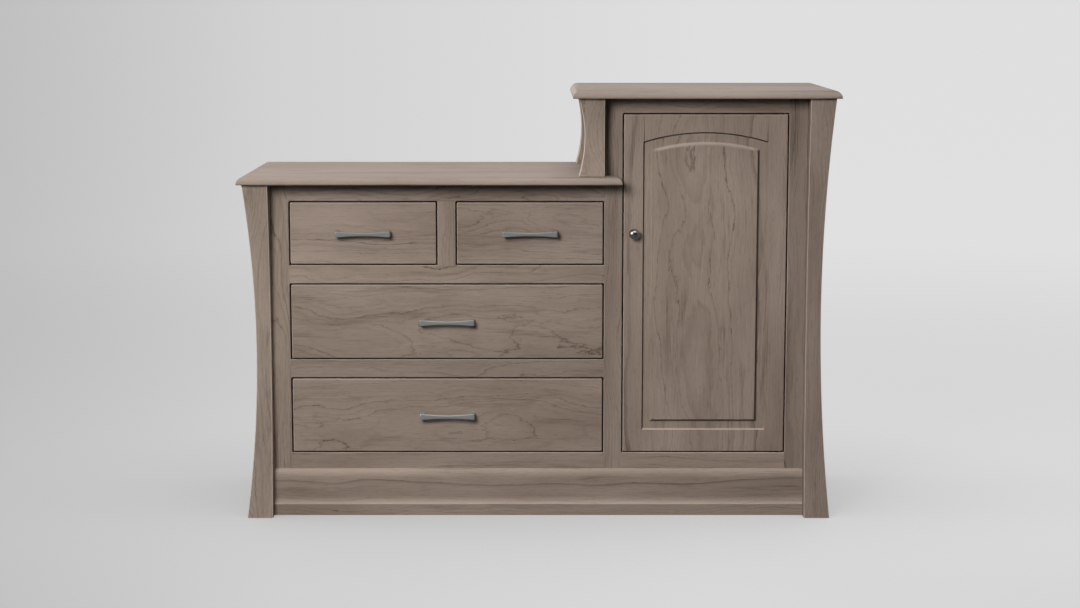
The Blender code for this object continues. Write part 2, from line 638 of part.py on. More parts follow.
def make_hinges(metal, pivot):
    """Pivot hinges: a leaf with a pin in the case, and a leaf with a hole in the door, at its top and bottom edges."""
    ends = (("top", DOOR_OPENING_TOP, DOOR_Z[1], 1), ("bottom", BOTTOM_RAIL_TOP, DOOR_Z[0], -1))
    for label, case_z, door_z, into in ends:
        case_leaf = board(f"hinge_pin_{label}", *leaf_corners(case_z, into), metal)
        pin_root = case_z + into * LEAF_THICKNESS / 2
        pin_end = door_z - into * (LEAF_THICKNESS - PIN_CLEARANCE)
        pin = make_piece(f"pin_{label}", pin_shape(PIN_RADIUS, pin_root, pin_end), metal)
        cut(case_leaf, pin, "UNION")
        door_leaf = board(f"hinge_leaf_{label}", *leaf_corners(door_z, -into), metal, pivot)
        beyond = into * LEAF_THICKNESS
        hole_radius = PIN_RADIUS + PIN_CLEARANCE
        hole = make_piece(f"hole_{label}", pin_shape(hole_radius, door_z + beyond, door_z - 2 * beyond), metal)
        cut(door_leaf, hole)


def make_door_panel(wood, pivot):
    """The raised panel: a tongue in the frame's groove, a shallow slope, a steep step and the flat field."""
    tongue_out = PANEL_GROOVE_DEPTH - SEAT
    tongue_front = FRAME_Y + PANEL_GROOVE_SETBACK + SEAT
    tongue_back = FRAME_Y + PANEL_GROOVE_SETBACK + PANEL_GROOVE_WIDTH - SEAT
    slope_end = -PANEL_SLOPE_WIDTH
    field = slope_end - PANEL_STEP_WIDTH
    stations = [
        (tongue_out, tongue_back), (tongue_out, tongue_front), (-SEAT, tongue_front),
        (slope_end, tongue_front - PANEL_SLOPE_RISE), (field, FRAME_Y + FIELD_SETBACK),
    ]
    make_piece("door_panel", loft_shape([window_ring(*station) for station in stations]), wood, pivot)


def make_knob(metal, pivot):
    """A ball knob on a short neck and a round foot, turned about the line that stands out of the door."""
    radius = KNOB_DIAMETER / 2
    ball_out = KNOB_PROJECTION - radius
    start = math.asin(KNOB_NECK_RADIUS / radius)
    profile = [
        (KNOB_ROSETTE_RADIUS, 0), (KNOB_ROSETTE_RADIUS, KNOB_ROSETTE_THICKNESS / 2),
        (KNOB_NECK_RADIUS, KNOB_ROSETTE_THICKNESS),
    ]
    for step in range(KNOB_STEPS):
        angle = start + (math.pi - start) * step / KNOB_STEPS
        profile.append((radius * math.sin(angle), ball_out - radius * math.cos(angle)))
    centre_x = DOOR_X[0] + DOOR_STILE_WIDTH / 2
    centre_z = TOP_ROW_Z + SHALLOW_DRAWER_OPENING / 2
    rings = []
    for ring_radius, out in profile:
        turns = [2 * math.pi * side / TURNED_SIDES for side in range(TURNED_SIDES)]
        y = FRAME_Y - SEAT - out
        rings.append(
            [
                Vector((centre_x + ring_radius * math.cos(turn), y, centre_z + ring_radius * math.sin(turn)))
                for turn in turns
            ]
        )
    knob = make_piece("door_knob", loft_shape(rings), metal, pivot)
    knob.data.shade_smooth()
    knob.data.set_sharp_from_angle(angle=math.radians(50))


def make_door(wood, metal):
    """Two stiles, an arched top rail and a bottom rail round a raised panel, on pivot hinges at its right edge."""
    pivot = make_pivot("door_hinge_axis", (PIVOT[0], PIVOT[1], (DOOR_Z[0] + DOOR_Z[1]) / 2))
    cutter = window_cutter(wood)
    arch_spring = WINDOW_Z[1] - ARCH_RISE
    boards = {
        "door_stile_left": (DOOR_X[0], WINDOW_X[0], DOOR_Z[0], DOOR_Z[1]),
        "door_stile_right": (WINDOW_X[1], DOOR_X[1], DOOR_Z[0], DOOR_Z[1]),
        "door_rail_bottom": (WINDOW_X[0] + SEAT, WINDOW_X[1] - SEAT, DOOR_Z[0], WINDOW_Z[0]),
        "door_rail_top": (WINDOW_X[0] + SEAT, WINDOW_X[1] - SEAT, arch_spring, DOOR_Z[1]),
    }
    for name, (x0, x1, z0, z1) in boards.items():
        piece = board(name, (x0, FRAME_Y, z0), (x1, FRAME_BACK_Y, z1), wood, pivot)
        cut(piece, cutter)
        if name == "door_stile_right":
            cut_leaf_seat(piece, DOOR_Z[1], -1, wood)
            cut_leaf_seat(piece, DOOR_Z[0], 1, wood)
    make_door_panel(wood, pivot)
    make_knob(metal, pivot)
    make_hinges(metal, pivot)


def main():
    """Builds the whole dresser."""
    clear_scene()
    wood = make_finish("grey_brown_stain", (0.235, 0.184, 0.150), 0.45)
    inside_wood = make_finish("clear_maple", (0.55, 0.42, 0.28), 0.5)
    back_wood = make_finish("stained_ply", (0.21, 0.165, 0.135), 0.6)
    metal = make_finish("satin_nickel", (0.52, 0.52, 0.51), 0.3, 1.0)
    make_posts(wood)
    make_tops(wood)
    make_side_panels(wood)
    make_inside(inside_wood)
    make_backs(back_wood)
    make_face_frame(wood)
    make_base(wood)
    make_drawers(wood, inside_wood, metal)
    make_door(wood, metal)


main()
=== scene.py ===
import json
import math

import bmesh
import bpy
import numpy as np
from mathutils import Matrix, Vector


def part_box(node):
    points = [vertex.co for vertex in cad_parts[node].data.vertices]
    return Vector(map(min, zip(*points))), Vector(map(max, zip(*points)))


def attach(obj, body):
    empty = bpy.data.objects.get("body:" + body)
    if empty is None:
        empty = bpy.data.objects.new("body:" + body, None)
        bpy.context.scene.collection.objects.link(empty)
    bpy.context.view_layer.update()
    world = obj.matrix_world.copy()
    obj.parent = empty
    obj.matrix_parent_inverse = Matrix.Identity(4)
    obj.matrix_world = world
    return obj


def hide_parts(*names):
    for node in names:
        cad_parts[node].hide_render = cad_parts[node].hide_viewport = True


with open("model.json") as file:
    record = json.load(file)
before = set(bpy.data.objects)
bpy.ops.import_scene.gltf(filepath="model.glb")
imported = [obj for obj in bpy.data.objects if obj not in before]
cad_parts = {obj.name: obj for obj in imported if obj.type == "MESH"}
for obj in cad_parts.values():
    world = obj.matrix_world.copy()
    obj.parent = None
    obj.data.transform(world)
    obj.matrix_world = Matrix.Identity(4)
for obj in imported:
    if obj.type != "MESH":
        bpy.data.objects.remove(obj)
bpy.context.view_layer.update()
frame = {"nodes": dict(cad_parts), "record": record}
print("frame loaded:", len(frame["nodes"]), "nodes")

bodyOf = {node: body for body, nodes in frame["record"]["behaviour"]["bodies"].items() for node in nodes}
seat = 0.0003  # the CAD model's gap between pieces that touch
margin = 0.0005  # flat strip beside a rounded arris, which keeps the wide face flat in the light
sharp = 0.00002  # radius of an arris that stays sharp
weld = 0.000001  # points closer than this become one
crease = math.radians(35)  # a bend sharper than this stays a crease
arrisSteps = 3  # steps round an arris
arrisShare = np.array([0, 0.5, 1, 1, 0.5, 0])  # how much of its wear and painted light an arris shows, from margin to margin
quarters = np.arange(4) * math.pi / 2
# For an outline carried along each axis: the outline's own two axes, then that one
axisOrder = {"x": (1, 2, 0), "y": (0, 2, 1), "z": (0, 1, 2)}


# Meshes from worked-out points

def gridFaces(rows, columns, wrap=False):
    # Quads between each row of points and the next; wrap joins the last column to the first
    spans = columns if wrap else columns - 1
    row, column = np.meshgrid(np.arange(rows - 1), np.arange(spans), indexing="ij")
    after = (column + 1) % columns
    here, onward = row * columns, (row + 1) * columns
    corners = (here + column, here + after, onward + after, onward + column)
    return np.stack(corners, axis=-1).reshape(-1, 4)


def tubeFaces(rows, count):
    # A closed band of quads with a flat face at each end
    ends = [list(range(count)), list(range((rows - 1) * count, rows * count))]
    return gridFaces(rows, count, True).tolist() + ends


def quarterTurn(steps):
    return np.linspace(0, math.pi / 2, steps + 1)


def joined(*parts, axis=0):
    return np.concatenate(parts, axis)


def zipped(*parts):
    # Each point's parts, from arrays or numbers, which are first spread to one shape
    return np.stack(np.broadcast_arrays(*parts), axis=-1)


def easing(radius, steps=arrisSteps):
    # A rounded edge from one face to the next: how far it lies in from the second, and from the first
    turn = quarterTurn(steps)
    return radius * (1 - np.sin(turn)), radius * (1 - np.cos(turn))


def pieceName(node):
    first, *rest = node.split("_")
    return first + "".join(word.capitalize() for word in rest)


def addObject(name, data):
    made = bpy.data.objects.new(name, data)
    bpy.context.scene.collection.objects.link(made)
    return made


def newMesh(name, points, faces):
    mesh = bpy.data.meshes.new(name)
    mesh.from_pydata(points.reshape(-1, 3).tolist(), [], faces)
    return mesh


def turnOutwards(mesh, merge):
    shape = bmesh.new()
    shape.from_mesh(mesh)
    if merge:
        bmesh.ops.remove_doubles(shape, verts=shape.verts, dist=weld)
    bmesh.ops.recalc_face_normals(shape, faces=shape.faces)
    shape.to_mesh(mesh)
    shape.free()


def showPiece(node, mesh, slot, *materials):
    # The piece shows instead of its node and rides on the node's body
    for material in materials:
        mesh.materials.append(material)
    piece = addObject(pieceName(node), mesh)
    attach(piece, bodyOf[node])
    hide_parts(node)
    return piece


def makePiece(node, points, faces, wearAndPaintedLight, material, slot="stained_wood"):
    # Puts the points and faces in a mesh, merges poles, turns faces outwards and smooths gentle bends
    mesh = newMesh(pieceName(node), points, faces)
    if wearAndPaintedLight is not None:
        arris = mesh.attributes.new("arris", "FLOAT", "POINT")
        arris.data.foreach_set("value", wearAndPaintedLight.astype(np.float32).ravel())
    turnOutwards(mesh, True)
    mesh.shade_smooth()
    mesh.set_sharp_from_angle(angle=crease)
    showPiece(node, mesh, slot, material)


def roundedOutline(a0, a1, b0, b1, arris):
    # One rounded rectangle per row. A corner is a quarter circle, centre + arris * (cos, sin), with a flat
    # margin point before and after it. Corners go (+,+), (-,+), (-,-), (+,-); arris may differ at each.
    sides = [np.asarray(side, float).reshape(-1, 1) for side in (a0, a1, b0, b1)]
    a0, a1, b0, b1 = np.broadcast_arrays(*sides)
    rows = max(len(a0), len(np.atleast_2d(arris)))
    arris = np.broadcast_to(arris, (rows, 4))
    first = np.where([1, 0, 0, 1], a1 - arris, a0 + arris)
    second = np.where([1, 1, 0, 0], b1 - arris, b0 + arris)
    centre = zipped(first, second)
    turn = quarters[:, None] + quarterTurn(arrisSteps)
    across = zipped(np.cos(turn), np.sin(turn))
    onward = zipped(-np.sin(turn), np.cos(turn))
    curve = centre[:, :, None] + arris[:, :, None, None] * across
    before = curve[:, :, :1] - margin * onward[:, :1]
    after = curve[:, :, -1:] + margin * onward[:, -1:]
    outline = joined(before, curve, after, axis=2).reshape(rows, -1, 2)
    wearAndPaintedLight = (arris[:, :, None] > 2 * sharp) * arrisShare
    return outline, wearAndPaintedLight.reshape(rows, -1)


def carry(node, outline, travel, axis, wearAndPaintedLight, material, slot="stained_wood"):
    # Carries an outline along an axis, one row for each place in travel, and closes both ends flat
    first, second, third = axisOrder[axis]
    rows, count = len(travel), outline.shape[1]
    points = np.empty((rows, count, 3))
    points[..., first] = outline[..., 0]
    points[..., second] = outline[..., 1]
    points[..., third] = np.reshape(travel, (rows, 1))
    wearAndPaintedLight = np.broadcast_to(wearAndPaintedLight, (rows, count))
    makePiece(node, points, tubeFaces(rows, count), wearAndPaintedLight, material, slot)


def easedBoard(node, axis, arris, material, slot="stained_wood", paintsLight=False):
    # A board with every edge rounded: rounded rectangles stacked through its thickness, drawn in near both
    # faces by arris * (1 - sin) at the depth arris * (1 - cos). Its arrises are paler with wear. Where light
    # is painted, the arris gets a painted highlight on the upper and left edges and painted shade on the
    # others, by sin - cos of the way an edge looks.
    low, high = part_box(node)
    first, second, third = axisOrder[axis]
    inset, depth = easing(arris)
    inset = joined([arris + margin], inset, [0])
    depth = joined([0], depth, [arris + margin])
    inset = joined(inset, inset[::-1])
    travel = joined(low[third] + depth, high[third] - depth[::-1])
    share = joined(arrisShare, arrisShare)
    corner = (2 * arris + margin - inset)[:, None]
    outline, wearAndPaintedLight = roundedOutline(
        low[first] + inset, high[first] - inset, low[second] + inset, high[second] - inset, corner
    )
    wearAndPaintedLight = np.maximum(wearAndPaintedLight, share[:, None])
    wearAndPaintedLight[[0, -1]] = 0
    # Painted light on the arrises: a painted highlight on the upper and left edges, painted shade on the
    # others
    if paintsLight:
        turn = quarterTurn(arrisSteps)
        way = quarters[:, None] + joined(turn[:1], turn, turn[-1:])
        wearAndPaintedLight = wearAndPaintedLight * np.clip(np.sin(way) - np.cos(way), -1, 1).ravel()
    carry(node, outline, travel, axis, wearAndPaintedLight, material, slot)


# Materials

def shade(red, green, blue, tone=1.0):
    # A colour as seen on a screen, made linear: ((c + 0.055) / 1.055) ** 2.4
    return tuple(tone * ((c / 255 + 0.055) / 1.055) ** 2.4 for c in (red, green, blue)) + (1.0,)


def feed(tree, node, feeds):
    # Gives a node's inputs by name or number: a socket is linked, a value is set
    for key, value in feeds.items():
        if isinstance(value, bpy.types.NodeSocket):
            tree.links.new(value, node.inputs[key])
        else:
            node.inputs[key].default_value = value


def addNode(tree, kind, feeds=None, **settings):
    # Settings come before feeds, since they decide which inputs there are
    made = tree.nodes.new("ShaderNode" + kind)
    for key, value in settings.items():
        setattr(made, key, value)
    feed(tree, made, feeds or {})
    return made


def sums(tree, operation, *values):
    made = addNode(tree, "Math", dict(enumerate(values)), operation=operation)
    return made.outputs[0]


def product(tree, first, *others):
    for other in others:
        first = sums(tree, "MULTIPLY", first, other)
    return first


def vectors(tree, operation, first, second):
    return addNode(tree, "VectorMath", {0: first, 1: second}, operation=operation).outputs[0]


def separate(tree, vector):
    return addNode(tree, "SeparateXYZ", {0: vector}).outputs


def placeOf(tree, kind="Object"):
    return addNode(tree, "TexCoord").outputs[kind]


def blend(tree, share, first, second):
    made = addNode(tree, "Mix", {0: share, 6: first, 7: second}, data_type="RGBA")
    return made.outputs[2]


def stretchedNoise(tree, vector, stretch, detail, roughness=0.5):
    feeds = {"Vector": vectors(tree, "MULTIPLY", vector, stretch), "Scale": 1.0, "Detail": detail}
    return addNode(tree, "TexNoise", {**feeds, "Roughness": roughness}).outputs


def mapRange(tree, value, low, high, toLow=0.0, toHigh=1.0, smooth=False):
    feeds = {"Value": value, "From Min": low, "From Max": high, "To Min": toLow, "To Max": toHigh}
    kind = "SMOOTHSTEP" if smooth else "LINEAR"
    return addNode(tree, "MapRange", feeds, interpolation_type=kind).outputs[0]


def newGroup(name, inputs, outputs):
    # A node group whose sockets are named with their kinds; returns it, its inputs and its output node
    tree = bpy.data.node_groups.new(name, "ShaderNodeTree")
    for way, sockets in (("INPUT", inputs), ("OUTPUT", outputs)):
        for label, kind in sockets.items():
            tree.interface.new_socket(label, in_out=way, socket_type="NodeSocket" + kind)
    return tree, tree.nodes.new("NodeGroupInput").outputs, tree.nodes.new("NodeGroupOutput")


def newMaterial(name):
    material = bpy.data.materials.new(name)
    material.use_nodes = True
    return material, material.node_tree, material.node_tree.nodes["Principled BSDF"]


# The wood's noises: cells per metre along, across and through the board, detail and roughness
woodNoise = {
    "wander": ((1.9, 3.6, 3.6), 2, 0.62), "ripple": ((15, 60, 60), 6, 0.62), "faint": ((2.2, 14, 14), 3),
    "bands": ((2.2, 36, 36), 3, 0.6), "fine": ((14, 300, 300), 4, 0.65), "flecks": ((46, 640, 640), 1),
    "clouds": ((2.2, 11, 11), 2),
}
# What a noise or a share of a ring is mapped from, and to where that isn't 0 to 1
woodRange = {
    "year": (0.25, 0.95, 0.15, 1.0), "lineStart": (0.76, 0.95), "lineEnd": (0.96, 1.0, 1.0, 0.0),
    "faint": (0.36, 0.62, 0.40, 1.0), "bands": (0.51, 0.74), "fine": (0.34, 0.70), "flecks": (0.60, 0.74),
    "clouds": (0.30, 0.70),
}
woodValue = {
    "middle": (0.5, 0.5, 0.5), "wanderShare": (0.5, 0.55, 1.0), "rippleShare": (1, 1, 1), "unevenRate": 0.45,
    "uneven": 2.8, "ringBend": 2.5, "ringShade": 0.32, "ringLine": 0.75, "streak": 0.5, "bandStreak": 1.5,
    "rubbed": 0.5, "gathered": -1.0,
}
woodStart = {"Ring Width": 0.006, "Wander": 0.1, "Ripple": 0.008}


def makeTimberGroup():
    # Wood as a solid: growth rings round a heart that wanders along the grain. In, a place from the board's
    # middle: x along the grain, y across, z through. Out, the rings, fine streaks, flecks and clouds.
    inputs = {"Place": "Vector", "Heart": "Vector", **dict.fromkeys(woodStart, "Float")}
    outputs = dict.fromkeys(("Rings", "Streaks", "Flecks", "Clouds"), "Float")
    tree, given, told = newGroup("timber", inputs, outputs)

    def noise(vector, name, output=0):
        return stretchedNoise(tree, vector, *woodNoise[name])[output]

    def mapped(value, name, smooth=False):
        return mapRange(tree, value, *woodRange[name], smooth=smooth)

    place = vectors(tree, "ADD", given["Place"], given["Heart"])
    moved = place
    for name in ("wander", "ripple"):
        about = vectors(tree, "SUBTRACT", noise(place, name, "Color"), woodValue["middle"])
        part = vectors(tree, "MULTIPLY", about, woodValue[name + "Share"])
        moved = vectors(tree, "ADD", moved, vectors(tree, "MULTIPLY", part, given[name.capitalize()]))
    _, across, through = separate(tree, moved)
    square = sums(tree, "MULTIPLY_ADD", across, across, product(tree, through, through))
    count = sums(tree, "DIVIDE", sums(tree, "SQRT", square), given["Ring Width"])
    rate = product(tree, count, woodValue["unevenRate"])
    feeds = {"W": rate, "Scale": 1.0, "Detail": 1.0}
    uneven = addNode(tree, "TexNoise", feeds, noise_dimensions="1D")
    count = sums(tree, "MULTIPLY_ADD", uneven.outputs[0], woodValue["uneven"], count)

    # A ring darkens towards its outer side and ends in a thin line, stronger in one year than in another
    part = sums(tree, "FRACT", count)
    year = addNode(tree, "TexWhiteNoise", {"W": sums(tree, "FLOOR", count)}, noise_dimensions="1D")
    strength = mapped(year.outputs["Value"], "year", True)
    line = mapped(part, "lineStart", True), mapped(part, "lineEnd", True), woodValue["ringLine"]
    shaded = sums(tree, "POWER", part, woodValue["ringBend"])
    shaded = sums(tree, "MULTIPLY_ADD", shaded, woodValue["ringShade"], product(tree, *line))
    rings = product(tree, shaded, strength, mapped(noise(place, "faint"), "faint"))

    # Fine streaks gather in darker bands
    bands = mapped(noise(moved, "bands"), "bands", True)
    bands = sums(tree, "MULTIPLY_ADD", bands, woodValue["bandStreak"], woodValue["streak"])
    streaks = product(tree, mapped(noise(place, "fine"), "fine"), bands)
    flecks = mapped(noise(place, "flecks"), "flecks")
    clouds = mapped(noise(moved, "clouds"), "clouds")
    feed(tree, told, dict(zip(outputs, (rings, streaks, flecks, clouds))))
    return tree


def makeEdgeGroup():
    # Wear and painted light along edges, from the arris attribute: above 0 an edge is paler, with rubbed
    # wear and a painted highlight; below 0 it is darkened with painted shade
    inputs = dict.fromkeys(("Wood", "Rubbed", "Gathered"), "Color")
    tree, given, told = newGroup("edgeWear", inputs, {"Colour": "Color"})
    wearAndPaintedLight = addNode(tree, "Attribute", attribute_name="arris").outputs["Fac"]
    colour = blend(tree, product(tree, wearAndPaintedLight, woodValue["rubbed"]), given["Wood"], given["Rubbed"])
    colour = blend(tree, product(tree, wearAndPaintedLight, woodValue["gathered"]), colour, given["Gathered"])
    feed(tree, told, {"Colour": colour})
    return tree


timberGroup = makeTimberGroup()
edgeGroup = makeEdgeGroup()

# How each look is coloured, and how strongly the wood's figure shows in it
# The pale edge tone is for rubbed wear and painted highlights, the dark edge tone for painted shade on edges
# and slopes that face away from the light
stainedLook = {
    "pale": (139, 125, 114), "deep": (121, 107, 96), "line": (76, 63, 54), "rubbed": (186, 172, 160),
    "gathered": (34, 27, 22), "rings": 1.0, "streaks": 0.42, "flecks": 0.35, "roughness": 0.64,
    "shine": 0.28, "bump": 0.10,
}
clearLook = {
    "pale": (214, 187, 150), "deep": (196, 164, 124), "line": (160, 120, 80), "rubbed": (222, 198, 164),
    "gathered": (160, 120, 80), "rings": 0.45, "streaks": 0.30, "flecks": 0.25, "roughness": 0.45,
    "shine": 0.40, "bump": 0.08,
}
plyLook = {
    "pale": (128, 112, 100), "deep": (108, 93, 82), "line": (78, 64, 55), "rubbed": (128, 112, 100),
    "gathered": (78, 64, 55), "rings": 0.70, "streaks": 0.42, "flecks": 0.5, "roughness": 0.70,
    "shine": 0.20, "bump": 0.15,
}

# Rows that turn the object's axes into along the grain, across the board and through it
grainRows = {
    "x on a front": ((1, 0, 0), (0, 0, 1), (0, -1, 0)),
    "x on a top": ((1, 0, 0), (0, 1, 0), (0, 0, 1)),
    "z on a front": ((0, 0, 1), (1, 0, 0), (0, 1, 0)),
    "z on a side": ((0, 0, 1), (0, 1, 0), (-1, 0, 0)),
    "y on a side": ((0, 1, 0), (0, 0, 1), (1, 0, 0)),
}
# The pores' depth, what streaks add to the height, and how far they change the roughness
relief = {"depth": 0.0004, "streak": -0.4, "gloss": 0.12}


def timber(node, look, grain, along, across, depth, tone=1.0, box=None, suffix="Wood", **figured):
    # One board's own wood. along picks a stretch of the log; across and depth give where the log's heart
    # lies from the board's middle, beside it and behind it; figured changes the group's other values
    turn = Matrix(grainRows[grain])
    low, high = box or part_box(node)
    middle = turn @ ((low + high) / 2)
    material, tree, shader = newMaterial(pieceName(node) + suffix)
    feeds = {"Vector": placeOf(tree), "Rotation": turn.to_euler(), "Location": -middle}
    mapping = addNode(tree, "Mapping", feeds, vector_type="POINT")
    feeds = {"Place": mapping.outputs[0], "Heart": (along, across, depth), **woodStart, **figured}
    shown = addNode(tree, "Group", feeds, node_tree=timberGroup).outputs
    colour = blend(tree, shown["Clouds"], shade(*look["pale"], tone), shade(*look["deep"], tone))
    line = shade(*look["line"], tone)
    for label in ("Rings", "Streaks", "Flecks"):
        colour = blend(tree, product(tree, shown[label], look[label.lower()]), colour, line)
    feeds = {"Wood": colour, "Rubbed": shade(*look["rubbed"], tone), "Gathered": shade(*look["gathered"])}
    edged = addNode(tree, "Group", feeds, node_tree=edgeGroup).outputs[0]
    least = look["roughness"] - relief["gloss"] / 2
    gloss = sums(tree, "MULTIPLY_ADD", shown["Streaks"], relief["gloss"], least)
    height = sums(tree, "SUBTRACT", product(tree, shown["Streaks"], relief["streak"]), shown["Flecks"])
    feeds = {"Strength": look["bump"], "Distance": relief["depth"], "Height": height}
    pores = addNode(tree, "Bump", feeds).outputs[0]
    feeds = {"Base Color": edged, "Roughness": gloss, "Normal": pores, "Specular IOR Level": look["shine"]}
    feed(tree, shader, feeds)
    return material


brushed = {"noise": ((160, 900, 900), 3), "tones": (0.94, 1.06)}


def metal(name, colour, roughness, scratch, metallic=1.0):
    # Metal with a fine brushed unevenness in its gloss; a satin finish also scatters part of the light
    material, tree, shader = newMaterial(name)
    noise = stretchedNoise(tree, placeOf(tree), *brushed["noise"])[0]
    tones = (shade(*colour, tone) for tone in brushed["tones"])
    gloss = sums(tree, "MULTIPLY_ADD", noise, scratch, roughness - scratch / 2)
    feed(tree, shader, {"Metallic": metallic, "Base Color": blend(tree, noise, *tones), "Roughness": gloss})
    return material


print("materials ready")


# Posts

post = {"sweep": 0.027, "upperSweep": 0.0145, "arris": 0.0016, "levels": 57}
# Tones differ from board to board as in real wood; the left front post's higher tone and the right one's
# lower tone also stand in for the light falling off from left to right: painted light and shade
posts = {  # which way the outer side looks, whether the front is swept, place in the log and tone
    "post_front_left": (-1, True, 2.6, 0.05, 0.09, 1.05),
    "post_front_right": (1, True, 4.1, -0.06, 0.08, 0.95),
    "post_rear_left": (-1, False, 7.7, 0.04, 0.10, 1.0),
    "post_rear_right": (1, False, 9.2, 0.05, 0.07, 1.0),
    "post_upper_front": (-1, True, 12.3, 0.03, 0.08, 1.0),
    "post_upper_rear": (-1, False, 14.8, 0.04, 0.10, 1.0),
}


def sweptPost(node, side, frontSwept, *place):
    # The hollow is an arc of a circle: sqrt(radius^2 - rise^2) - (radius - sweep), rise from mid-height
    low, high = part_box(node)
    sweep = post["upperSweep"] if "upper" in node else post["sweep"]
    half = (high.z - low.z) / 2
    radius = (half * half + sweep * sweep) / (2 * sweep)
    rise = np.linspace(-half, half, post["levels"])
    hollow = np.sqrt(radius * radius - rise * rise) - (radius - sweep)
    left, right = low.x + hollow * (side < 0), high.x - hollow * (side > 0)
    outline, wearAndPaintedLight = roundedOutline(left, right, low.y + hollow * frontSwept, high.y, post["arris"])
    wood = timber(node, stainedLook, "z on a front", *place)
    carry(node, outline, low.z + half + rise, "z", wearAndPaintedLight, wood)


for node, values in posts.items():
    sweptPost(node, *values)
print("posts made")


# Tops

# The last number of low and tall is a tone of about 0.7 that darkens the tops against the light falling on
# them from above: painted shade
topBoard = {
    "round": 0.020, "arris": 0.0012, "steps": 12, "rubbed": 0.55, "low": (2.2, 0.14, 0.06, 0.71),
    "tall": (6.4, 0.12, 0.06, 0.70),
}
lipSetback = 0.003  # the lip ends this far short of the centre stile's door side


def roundedTop(node, corners, *place):
    # Every shown edge is a quarter round, widest at the underside: inset round * (1 - cos), height by sin.
    # A corner is (x, y, dx, dy), and dx, dy say which way the rounding draws it in.
    # It is paler the further it turns down, by the cosine of its turn: rubbed wear and a painted highlight.
    low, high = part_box(node)
    arris, span, thick = topBoard["arris"], topBoard["round"], high.z - low.z
    turn = quarterTurn(topBoard["steps"])[1:]
    inset, rise = easing(arris)
    rubbed = joined([0], inset * 0, topBoard["rubbed"] * np.cos(turn), [0])
    inset = joined([arris + margin], inset, span * (1 - np.cos(turn)), [span + margin])
    rise = joined([0], rise, arris + (thick - arris) * np.sin(turn), [thick])
    spots = np.array(corners)
    outline = spots[None, :, :2] + spots[None, :, 2:] * inset[:, None, None]
    wearAndPaintedLight = rubbed[:, None] * (np.abs(spots[:, 2:]).sum(axis=1) > 0)
    wood = timber(node, stainedLook, "x on a top", *place)
    carry(node, outline, low.z + rise, "z", wearAndPaintedLight, wood)


def makeTops():
    low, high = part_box("top_low")
    stile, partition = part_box("stile_centre"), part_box("partition")
    lipX, frameY = stile[1].x - lipSetback, stile[0].y - seat
    notchX, wallX = stile[0].x - seat, partition[1].x
    insideFront, insideBack = partition[0].y, partition[1].y
    corners = [
        (low.x, low.y, 1, 1), (lipX, low.y, -1, 1), (lipX, frameY, -1, 0), (notchX, frameY, 0, 0),
        (notchX, insideFront, 0, 0), (wallX, insideFront, 0, 0), (wallX, insideBack, 0, 0),
        (notchX, insideBack, 0, 0), (notchX, high.y, 0, 0), (low.x, high.y, 1, 0),
    ]
    roundedTop("top_low", corners, *topBoard["low"])
    low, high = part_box("top_tall")
    corners = [(low.x, low.y, 1, 1), (high.x, low.y, -1, 1), (high.x, high.y, -1, 0), (low.x, high.y, 1, 0)]
    roundedTop("top_tall", corners, *topBoard["tall"])


makeTops()
print("tops made")


# Face frame. Boards meet without a gap, and an arris is rounded only where it borders an opening.

faceFrame = {"arris": 0.0013, "run": 0.002, "drawerGap": 0.003, "tidy": 6}  # tidy: decimals that stops keep
# Tones differ from board to board as in real wood; the left stile's higher tone and the right stile's lower
# tone also stand in for the light falling off from left to right: painted light and shade
frameWood = {  # each board's place in its log and its tone
    "stile_left": (16.1, 0.03, 0.08, 1.06), "stile_centre": (18.7, -0.05, 0.07, 0.95),
    "stile_right": (20.9, 0.05, 0.09, 0.87), "mullion": (22.5, 0.04, 0.08, 1.06),
    "rail_top_low": (24.2, 0.02, 0.07, 1.0), "rail_upper": (26.4, -0.04, 0.09, 1.07),
    "rail_lower": (28.1, 0.05, 0.08, 0.9), "rail_bottom_low": (30.6, 0.06, 0.08, 1.0),
    "rail_top_tall": (32.3, 0.03, 0.08, 1.0), "rail_bottom_tall": (34.9, 0.05, 0.08, 1.12),
}


def stoppedArris(travel, spans):
    # The radius rises from nothing to its full size over a short run at each end of a span
    run = faceFrame["run"]
    full = np.zeros(len(travel))
    for start, end in spans:
        full = np.maximum(full, np.clip(np.minimum(travel - start, end - travel) / run, 0, 1))
    return np.maximum(faceFrame["arris"] * full, sharp)


def frameBoard(node, upright, reach, edges):
    # reach lengthens the board (x0, x1, z0, z1); edges gives the eased spans of its low and its high edge
    low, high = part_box(node)
    low.x, high.x = low.x - reach[0], high.x + reach[1]
    low.z, high.z = low.z - reach[2], high.z + reach[3]
    start, end = (low.z, high.z) if upright else (low.x, high.x)
    stops = [start, end]
    for a, b in edges[0] + edges[1]:
        stops += [a, a + faceFrame["run"], b - faceFrame["run"], b]
    travel = np.unique(np.clip(np.round(stops, faceFrame["tidy"]), start, end))
    lowEdge, highEdge = (stoppedArris(travel, spans) for spans in edges)
    if upright:
        axis, dark, corners = "z", 3, (sharp, sharp, lowEdge, highEdge)
    else:
        axis, dark, corners = "x", 2, (sharp, highEdge, lowEdge, sharp)
    first, second, _ = axisOrder[axis]
    arris = zipped(*corners)
    outline, wearAndPaintedLight = roundedOutline(low[first], high[first], low[second], high[second], arris)
    # The corner that looks right or down gets painted shade; the other eased corners are paler with wear and
    # a painted highlight
    span = len(arrisShare)
    wearAndPaintedLight[:, dark * span:(dark + 1) * span] *= -1
    wood = timber(node, stainedLook, axis + " on a front", *frameWood[node], box=(low, high))
    carry(node, outline, travel, axis, wearAndPaintedLight, wood)


def openingSpan(node, axis):
    # The opening round a drawer front or the door reaches one gap past it on each side
    low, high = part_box(node)
    return low[axis] - faceFrame["drawerGap"], high[axis] + faceFrame["drawerGap"]


